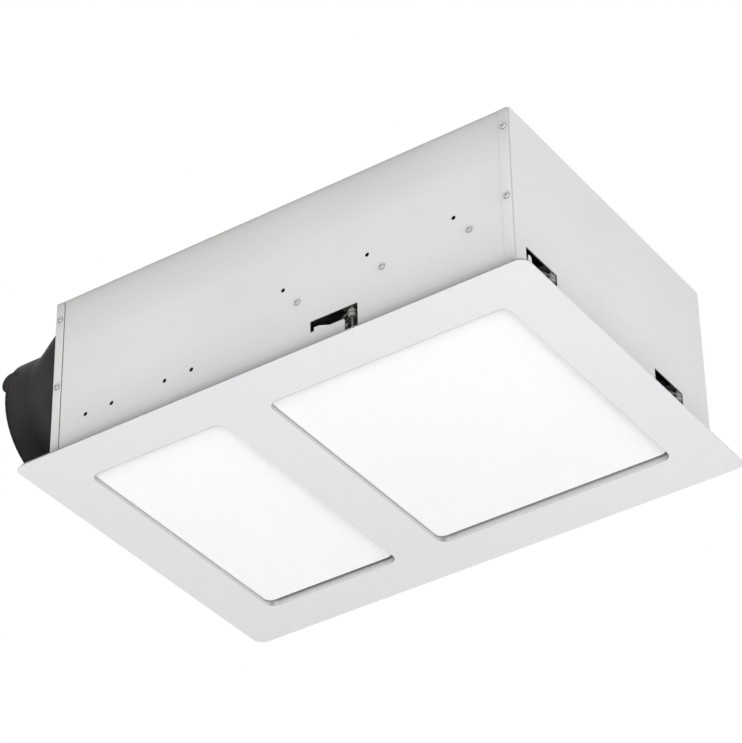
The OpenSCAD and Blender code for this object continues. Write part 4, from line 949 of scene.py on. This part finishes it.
def duct_body():
    """The adapter as one skin: foot, body, spigot and mouth outside, then back along the bore."""
    bm = bmesh.new()
    start, end = -half_x - 3.0, mouth_x + straight
    rings = [square_ring(-half_x, 71.0, 44.0), square_ring(-half_x, 79.4, 49.6),
             square_ring(-half_x - 0.6, 80, 50), square_ring(start + 0.5, 80, 50),
             square_ring(start, 79.6, 50)]
    for k in range(1, 13):
        t = k / 12
        s = t * t * (3 - 2 * t) * 0.6 + t * 0.4
        half = 79.6 + (duct_r - 79.6) * s
        rings.append(square_ring(start + (end - start) * t, half, 50 + (duct_r - 50) * s ** 0.8))
    mouth = [(4.2, duct_r), (3.6, duct_r - 0.5), (3.0, duct_r - 0.5), (2.4, duct_r - 0.1), (1.8, duct_r),
             (1.2, duct_r), (0.5, duct_r - 0.25), (0.1, duct_r - 0.7), (0, duct_r - 1.1),
             (0.2, bore_r + 0.3), (0.9, bore_r)]
    rings += [square_ring(mouth_x + dx, r, r) for dx, r in mouth]
    rings.append(square_ring(end, bore_r, bore_r))
    for k in range(1, 9):
        t = k / 8
        rings.append(square_ring(end + (-half_x - end) * t, bore_r - 1.1 * t, bore_r + (44 - bore_r) * t))
    rings.append(square_ring(-half_x + 8, 70.4, 43.4))
    rings.append(square_ring(-half_x + 8, 72.4, 44.7))
    rings.append(square_ring(-half_x + 0.2, 72.4, 44.7))
    loft(bm, rings)
    for s in (-1, 1):
        ear(bm, s)
    low = duct_z - bore_r
    block(bm, (-342.2, duct_y - 5, low - 0.5), (-338.5, duct_y + 5, low + 6.4), 0.6)
    return piece("duct_spout", bm, "black_plastic", stands_for=("duct_adapter",))


pin_x, pin_z = mouth_x + 3.5, duct_z + 20.0


def ear(bm, s):
    """A round ear with the pin's hole, on the spigot's bore."""
    place = Matrix.Translation((pin_x, duct_y + s * 66.3, pin_z))
    place = place @ Matrix.Rotation(math.radians(-90 * s), 4, "X")
    outline = [(1.55, 0), (11.6, 0), (12, 0.4), (12, 2.2), (11.6, 2.6), (1.55, 2.6)]
    lathe(bm, outline, 48, place, (False, False))


duct_body()
print("duct from", -half_x, "to", mouth_x)

# %% [markdown]
# The backdraught flap hangs from a pin above the duct's axis, so its own weight closes it and the
# fan's air lifts it. Three ribs keep the thin disc flat.

# %% Flap and pin


def flap():
    """The disc with its two sides cut off beside the ears, its pin tube and its ribs."""
    bm = bmesh.new()
    r, cut = 70.0, 65.5
    side = math.degrees(math.acos(cut / r))
    ring = arc(0, 0, r, side, 180 - side, 30) + arc(0, 0, r, 180 + side, 360 - side, 30)
    rings = []
    for d, x in ((0.4, -1.0), (0, -0.6), (0, 0.6), (0.4, 1.0)):
        f = (r - d) / r
        rings.append([(pin_x + x, duct_y + a * f, duct_z + b * f) for a, b in ring])
    loft(bm, rings, (True, True))
    across = Matrix.Translation((pin_x, duct_y, pin_z)) @ Matrix.Rotation(math.radians(90), 4, "X")
    lathe(bm, [(1.6, -65.5), (3.2, -65.5), (3.4, -65.2), (3.4, 65.2), (3.2, 65.5), (1.6, 65.5)], 28, across,
          (False, False))
    for k in (-1, 0, 1):
        y = duct_y + k * 30
        block(bm, (pin_x - 3, y - 0.8, duct_z - 45), (pin_x - 0.9, y + 0.8, pin_z), 0.35)
    return piece("flap_disc", bm, "black_plastic", "flap", ("damper_flap",))


flap()
print("flap on its pin at", (pin_x, duct_y, pin_z))

# %% [markdown]
# ## Screws
# All the visible screws are the same small pan head screw with a cross recess. The head is turned
# from an outline and the recess is cut out of it, because a real recess is what gives a small head
# its highlight and its dark crescent.

# %% Pan head screw


def screw_shape():
    """One screw that points along -Z from its head, with a cross recess cut into the head."""
    bm = bmesh.new()
    dome = [(3.4, 0.02), (3.4, 0.5), (3.25, 0.95), (2.85, 1.4), (2.2, 1.72), (1.3, 1.87), (0.5, 1.9)]
    lathe(bm, [(1.9, -7), (1.9, 0.02)] + dome, 36)
    head = bpy.data.objects.new("screw_head_blank", bpy.data.meshes.new("screw_head_blank"))
    bm.to_mesh(head.data)
    bm.free()
    bm = bmesh.new()
    for turn in (0, 90):
        place = Matrix.Rotation(math.radians(turn), 4, "Z")
        rings = [[place @ Vector((x, y, z)) for x, y in ((-a, -b), (a, -b), (a, b), (-a, b))]
                 for z, a, b in ((0.55, 0.7, 0.32), (2.2, 1.95, 0.5))]
        loft(bm, rings, (True, True))
    cutter = bpy.data.objects.new("screw_recess", bpy.data.meshes.new("screw_recess"))
    bm.to_mesh(cutter.data)
    bm.free()
    for o in (head, cutter):
        scene.collection.objects.link(o)
    cut = head.modifiers.new("recess", "BOOLEAN")
    cut.operation = "DIFFERENCE"
    cut.solver = "EXACT"
    cut.use_self = True
    cut.object = cutter
    graph = bpy.context.evaluated_depsgraph_get()
    mesh = bpy.data.meshes.new_from_object(head.evaluated_get(graph))
    for o in (head, cutter):
        bpy.data.objects.remove(o, do_unlink=True)
    return mesh


screw_mesh = screw_shape()
print("one screw has", len(screw_mesh.polygons), "faces")

# %% [markdown]
# No two screws stop at the same angle, so each copy is turned at random about its own axis.

# %% All the pan head screws


def add_screw(bm, place):
    """Adds a copy of the screw to a drawing, at its place."""
    n = len(bm.verts)
    bm.from_mesh(screw_mesh)
    bm.verts.ensure_lookup_table()
    turn = Matrix.Rotation(random.uniform(0, math.pi), 4, "Z")
    for v in bm.verts[n:]:
        v.co = place @ turn @ v.co


def outward(turn, u, v, dist):
    """The place of a screw in a wall: its head looks out of the wall at (u, v)."""
    spin = Matrix.Rotation(math.radians(turn), 4, "Z")
    return spin @ Matrix.Translation((u, -dist, v)) @ Matrix.Rotation(math.radians(90), 4, "X")


def pan_head_screws():
    """The screws of the strips, the pan, the duct's foot, the supply box, its lid and the scroll."""
    bm = bmesh.new()
    for turn in (0, 180):
        for s in (-1, 1):
            for z in strip_z:
                add_screw(bm, outward(turn, s * strip_x, z, half_y))
        for k in (-1, 0, 1):
            side = 1 if turn == 0 else -1
            add_screw(bm, outward(turn, side * (tray_mid + k * pitch_x), tray_screw_z, wall_y + flush))
    for a in (-1, 1):
        for b in (-1, 1):
            add_screw(bm, outward(90, duct_y + a * boss_half, duct_z + b * boss_half, -half_x + sheet))
    for y in box_screw_y:
        add_screw(bm, outward(90, y, box_screw_z, -half_x + sheet))
    for y in lid_screw_y:
        add_screw(bm, outward(270, -y, lid_screw_z, half_x + box_deep + sheet))
    for a in (45, 135, 225, 315):
        x = fan_x + hang_r * math.cos(math.radians(a))
        y = fan_y + hang_r * math.sin(math.radians(a))
        add_screw(bm, Matrix.Translation((x, y, scroll_high)))
    return piece("pan_head_screws", bm, "zinc_steel", stands_for=("pan_screws",), flat=40)


pan_head_screws()

# %% [markdown]
# ## The ceiling clamps
# Five clamps hold the box in the ceiling. Each has a vertical screw with a real thread, a cast nut
# that climbs it, and a pressed arm that swings out over the ceiling board.
# The thread is drawn as one long helical ribbon whose last edge in a turn is the first of the next.

# %% Clamp screw with a thread
thread_pitch = 0.7


def clamp_place(turn, along, dist):
    """The place of a clamp's pivot in its wall."""
    return Matrix.Rotation(math.radians(turn), 4, "Z") @ Matrix.Translation((along, -dist + pivot_in, 0))


def thread(bm, z0, z1, n=20):
    """A helical ribbon between two heights, with four points across each turn's profile."""
    radii = (1.66, 1.9, 1.98, 1.9)
    turns = int((z1 - z0) / thread_pitch)
    grid = {}
    for m in range(turns * n + n + 1):
        a = 2 * math.pi * m / n
        for k, r in enumerate(radii):
            z = z0 + thread_pitch * (m / n + k / 4)
            grid[m, k] = bm.verts.new((r * math.cos(a), r * math.sin(a), min(z, z1)))
    for m in range(turns * n):
        for k in range(4):
            a, b = (m, k), (m + 1, k)
            c, d = ((m + 1, k + 1), (m, k + 1)) if k < 3 else ((m + 1 + n, 0), (m + n, 0))
            bm.faces.new((grid[a], grid[b], grid[c], grid[d]))


def clamp_screw_piece(where, place):
    """The screw with its thread, its head and collar below, its thin upper end and a bar for the slot."""
    bm = bmesh.new()
    thread(bm, 5.6, 46.2)
    head = [(1.9, 0.35), (2.9, 0.3), (3.2, 0.7), (3.2, 2.3), (2.9, 2.7), (2.0, 2.7)]
    collar = [(2.0, 4.7), (2.8, 4.8), (3.0, 5.0), (3.0, 5.8), (2.8, 6.0), (1.7, 6.0)]
    lathe(bm, head + collar, 32)
    lathe(bm, [(1.6, 44.5), (1.95, 46.0), (1.95, 46.6), (1.2, 46.7), (1.2, 50.2), (0.9, 50.5)], 28)
    block(bm, (-2, -0.4, 0.3), (2, 0.4, 0.6), 0.05)
    bmesh.ops.transform(bm, matrix=place, verts=bm.verts)
    return piece("clamp_thread_" + where, bm, "dull_steel", "screw_" + where, ("clamp_screw_" + where,))


print("thread with a pitch of", thread_pitch, "mm")

# %% Clamp nut and arm
# in degrees, the angle between the wall and the stored arm
stored_turn = 24


def clamp_nut_piece(where, place):
    """The nut: a round body with a tail, and a domed boss above the arm."""
    bm = bmesh.new()
    lathe(bm, [(2.05, 34), (3.2, 34), (4.1, 34.4), (4.5, 35.2), (4.5, 37.6), (4.3, 38), (3.9, 38.2),
               (2.05, 38.2)], 36)
    block(bm, (-1.5, 0, 34), (1.5, 17.5, 38.2), 0.4)
    lathe(bm, [(2.05, 34.2), (3, 34.2), (3, 41.6), (4.4, 41.65), (4.5, 41.8), (4.2, 42.3), (3.6, 42.8),
               (2.9, 43.05), (2.3, 43.1), (2.05, 43.0)], 36, cap=(False, False))
    bmesh.ops.transform(bm, matrix=place, verts=bm.verts)
    return piece("clamp_nut_cast_" + where, bm, "cast_zinc", "nut_" + where, ("clamp_nut_" + where,))


def clamp_arm_piece(where, place):
    """The arm in its stored place: a strip, pale round the nut, a rib below it and a hooked tip."""
    bm = bmesh.new()
    reach, half = 46.5, 3.5
    outline = arc(0, 0, 4.5, 51, 309, 22)
    outline += [(reach - 1.2, -half), (reach, -half + 1.2), (reach, half - 1.2), (reach - 1.2, half)]
    rings = []
    for d, z in ((0.35, 38.5), (0, 38.85), (0, 41.15), (0.35, 41.5)):
        f = 1 - d / 4
        rings.append([(x if x > 10 else x * f, y * f, z) for x, y in outline])
    loft(bm, rings, (True, True))
    for f in bm.faces:
        f.material_index = 1 if f.calc_center_median().xy.length < 5 else 0
    block(bm, (7, -1, 35), (25, 1, 38.9), 0.4)
    block(bm, (reach - 1.6, -half, 35), (reach, half, 38.9), 0.35)
    stored = Matrix.Rotation(math.radians(180 - stored_turn), 4, "Z")
    bmesh.ops.transform(bm, matrix=place @ stored, verts=bm.verts)
    return piece("clamp_arm_pressed_" + where, bm, "dull_steel", "arm_" + where,
                 ("clamp_arm_" + where,), inner="cast_zinc")


for where, spot in CLAMPS.items():
    clamp_screw_piece(where, clamp_place(*spot))
    clamp_nut_piece(where, clamp_place(*spot))
    clamp_arm_piece(where, clamp_place(*spot))
print("clamps", list(CLAMPS))

# %% [markdown]
# The bracket behind each window is a folded strip of the same primed steel as the inside of the box.
# It is what shows as a dim plate in the upper corner of the window; its very dark colour is partly
# painted shade.

# %% Clamp brackets
bracket_half, bracket_deep = 11.5, 16.5


def brackets():
    """For each clamp, a lower plate with a gap for the screw, an upper plate and a slotted back."""
    bm = bmesh.new()
    half, deep = bracket_half, bracket_deep
    back = -pivot_in + sheet
    for spot in CLAMPS.values():
        place = clamp_place(*spot)
        block(bm, (-half, back, 3), (-2.2, deep, 4.5), 0.3, place)
        block(bm, (2.2, back, 3), (half, deep, 4.5), 0.3, place)
        block(bm, (-2.4, 2.2, 3.02), (2.4, deep, 4.48), 0.2, place)
        block(bm, (-half, back, 47.5), (half, deep, 49), 0.3, place)
        for lo, hi in ((-half, -1.8), (1.8, half)):
            block(bm, (lo, 15, 3.2), (hi, deep, 48.8), 0.3, place)
        block(bm, (-2, 15, 3.2), (2, deep, 5.5), 0.3, place)
        block(bm, (-2, 15, 44.5), (2, deep, 48.8), 0.3, place)
        for lo, hi in ((-half, -5), (5, half)):
            block(bm, (lo, back, 47.8), (hi, back + 1.5, 57.5), 0.3, place)
    return piece("clamp_bracket_plates", bm, "primer", stands_for=("clamp_brackets",))


brackets()
print("brackets", len(CLAMPS))

# %% [markdown]
# ## The supply box
# A small steel box on the left end takes the mains cable through a gland in its top. Its lid wraps
# over the upper and lower edges and is held by two screws.

# %% Supply box and lid
box_y0, box_y1, box_z0, box_z1 = -12.0, 98.0, 91.0, 161.0


def supply_box():
    """The open box with its rounded rim and the two posts for the lid's screws."""
    bm = bmesh.new()
    outer = round_loop(box_y0, box_y1, box_z0, box_z1, 2.5, 5)
    inner = round_loop(box_y0 + 1.5, box_y1 - 1.5, box_z0 + 1.5, box_z1 - 1.5, 1.2, 5)
    x_in, x_out = -half_x, -half_x - box_deep
    rings = [[(x_in, y, z) for y, z in outer], [(x_out + 0.2, y, z) for y, z in outer],
             [(x_out, y, z) for y, z in inner], [(x_in - 1.5, y, z) for y, z in inner]]
    loft(bm, rings, (True, True))
    for y in lid_screw_y:
        place = Matrix.Translation((x_out, y, lid_screw_z)) @ Matrix.Rotation(math.radians(90), 4, "Y")
        lathe(bm, [(2, 0.1), (3.8, 0.1), (4, 0.4), (4, 36.5), (2, 36.5)], 28, place, (False, False))
    return piece("supply_box_shell", bm, "housing_white", stands_for=("wiring_box",))


def supply_lid():
    """The lid, folded over the box's upper edge and, further, over its lower one."""
    bend = 1.3
    low, high = box_z0 - sheet - 0.3 + bend, box_z1 + sheet + 0.3 - bend
    below = low - bend * quarter - 12.7
    above = high + bend * quarter + 3.7
    outline = [(-box_y1, below), (-box_y0, below), (-box_y0, above), (-box_y1, above)]
    holes = [hole(-y, lid_screw_z, screw_hole_r) for y in lid_screw_y]
    folds = [(1, low, -1, bend, -1), (1, high, 1, bend, -1)]
    return folded_sheet("supply_lid", outline, holes, folds, 270, half_x + box_deep + sheet,
                        ("wiring_cover",))


supply_box()
supply_lid()
print("supply box", box_y1 - box_y0, "by", box_z1 - box_z0, "mm")

# %% [markdown]
# The gland is a tube through the box's top with a six-sided nut on each side of the sheet and a
# ribbed cap above, which a hand can turn.

# %% Gland
gland_y, gland_bore, gland_ribs = 20, 5.5, 24


def gland():
    """The tube, the two nuts and the ribbed cap, with one bore through them all."""
    bm = bmesh.new()
    at = Matrix.Translation((-half_x - box_deep / 2, gland_y, 0))
    bore, open_ends = gland_bore, (False, False)
    lathe(bm, [(bore, 152.5), (8.3, 152.5), (8.5, 152.8), (8.5, 168), (9.6, 168.3)], 36, at, open_ends)
    lathe(bm, [(bore + 0.02, 157), (12.5, 157), (12.5, 157.4), (12.5, 159.2), (12.1, 159.5),
               (8.4, 159.5)], 6, at, open_ends)
    lathe(bm, [(8.4, 161.0), (12.2, 161.0), (12.6, 161.5), (12.6, 165.4), (11.9, 166), (8.4, 166)], 6,
          at, open_ends)
    n = gland_ribs * 4
    cap = [(168.0, 9.9, 0.0), (168.4, 10.3, 0.45), (174.6, 10.1, 0.45), (175.8, 9.4, 0.2),
           (176.8, 8.2, 0.0), (177.0, 7.6, 0.0), (177.0, 6.2, 0.0), (176.4, bore, 0.0), (152.5, bore, 0.0)]
    rings = []
    for z, r, deep in cap:
        rings.append([at @ Vector((*ring_point(r - deep * (k % 4 in (0, 1)), k, n), z)) for k in range(n)])
    loft(bm, rings)
    return piece("supply_gland", bm, "black_plastic", stands_for=("cable_gland",))


gland()
print("gland with", gland_ribs, "ribs")

# %% [markdown]
# ## The fascia's wire springs
# Each spring is one bent wire: a turn and a half round the peg and two long legs that lean apart and
# run through the slot of a shelf on the wall. The legs end in small stops that carry the fascia when
# it hangs open. A round section carried along a path is the natural way to draw bent wire.

# %% Wire springs
wire_r, coil_r, coil_turns, leg_lean, leg_long = 0.9, 4.25, 1.5, math.radians(17), 62.0


def wire_springs():
    """The four springs, each as a tube along its path with a stop at both ends."""
    bm = bmesh.new()
    coil, lean, length = coil_r, leg_lean, leg_long
    for x0, s in SPRINGS:
        path = []
        a = Vector((x0 - coil, s * (spring_y + 1.7), peg_z))
        for k in range(14, 0, -1):
            d = length * k / 14
            path.append(Vector((a.x - d * math.sin(lean), a.y, a.z + d * math.cos(lean))))
        for k in range(73):
            ang = math.pi + 2 * math.pi * coil_turns * k / 72
            path.append(Vector((x0 + coil * math.cos(ang), s * (spring_y + 1.7 - 3.4 * k / 72),
                                peg_z + coil * math.sin(ang))))
        b = Vector((x0 + coil, s * (spring_y - 1.7), peg_z))
        for k in range(1, 15):
            d = length * k / 14
            path.append(Vector((b.x + d * math.sin(lean), b.y, b.z + d * math.cos(lean))))
        tube(bm, path, wire_r)
        for end in (path[0], path[-1]):
            lean_way = (path[1] - path[0]) if end is path[0] else (path[-2] - path[-1])
            place = Matrix.Translation(end) @ lean_way.to_track_quat("Z", "Y").to_matrix().to_4x4()
            lathe(bm, [(1.2, -0.1), (1.7, 0.2), (1.7, 1.5), (1.2, 1.8)], 20, place)
    return piece("fascia_wire_springs", bm, "zinc_steel", "fascia_panel", ("fascia_springs",))


def tube(bm, path, r, n=12):
    """A round wire along a path, its section carried without twist."""
    rings = []
    side = None
    for k, p in enumerate(path):
        ahead = (path[min(k + 1, len(path) - 1)] - path[max(k - 1, 0)]).normalized()
        if side is None:
            side = ahead.orthogonal().normalized()
        side = (side - ahead * side.dot(ahead)).normalized()
        up = ahead.cross(side)
        rings.append([p + r * (math.cos(2 * math.pi * j / n) * side + math.sin(2 * math.pi * j / n) * up)
                      for j in range(n)])
    loft(bm, rings, (True, True))


wire_springs()
print("wire springs", len(SPRINGS))

# %% [markdown]
# ## Floor
# A pale floor lies below the unit, so that a view from above has something plain behind the unit.

# %% Floor
floor_half, floor_z = 40, -2.4
bm = bmesh.new()
bmesh.ops.create_grid(bm, x_segments=2, y_segments=2, size=floor_half)
floor_mesh = bpy.data.meshes.new("studio_floor")
bm.to_mesh(floor_mesh)
bm.free()
floor = bpy.data.objects.new("studio_floor", floor_mesh)
scene.collection.objects.link(floor)
floor.location = (0, 0, floor_z)
floor_mesh.materials.append(MATS["floor_pale"])
print("floor at", round(floor.location.z, 2), "m")
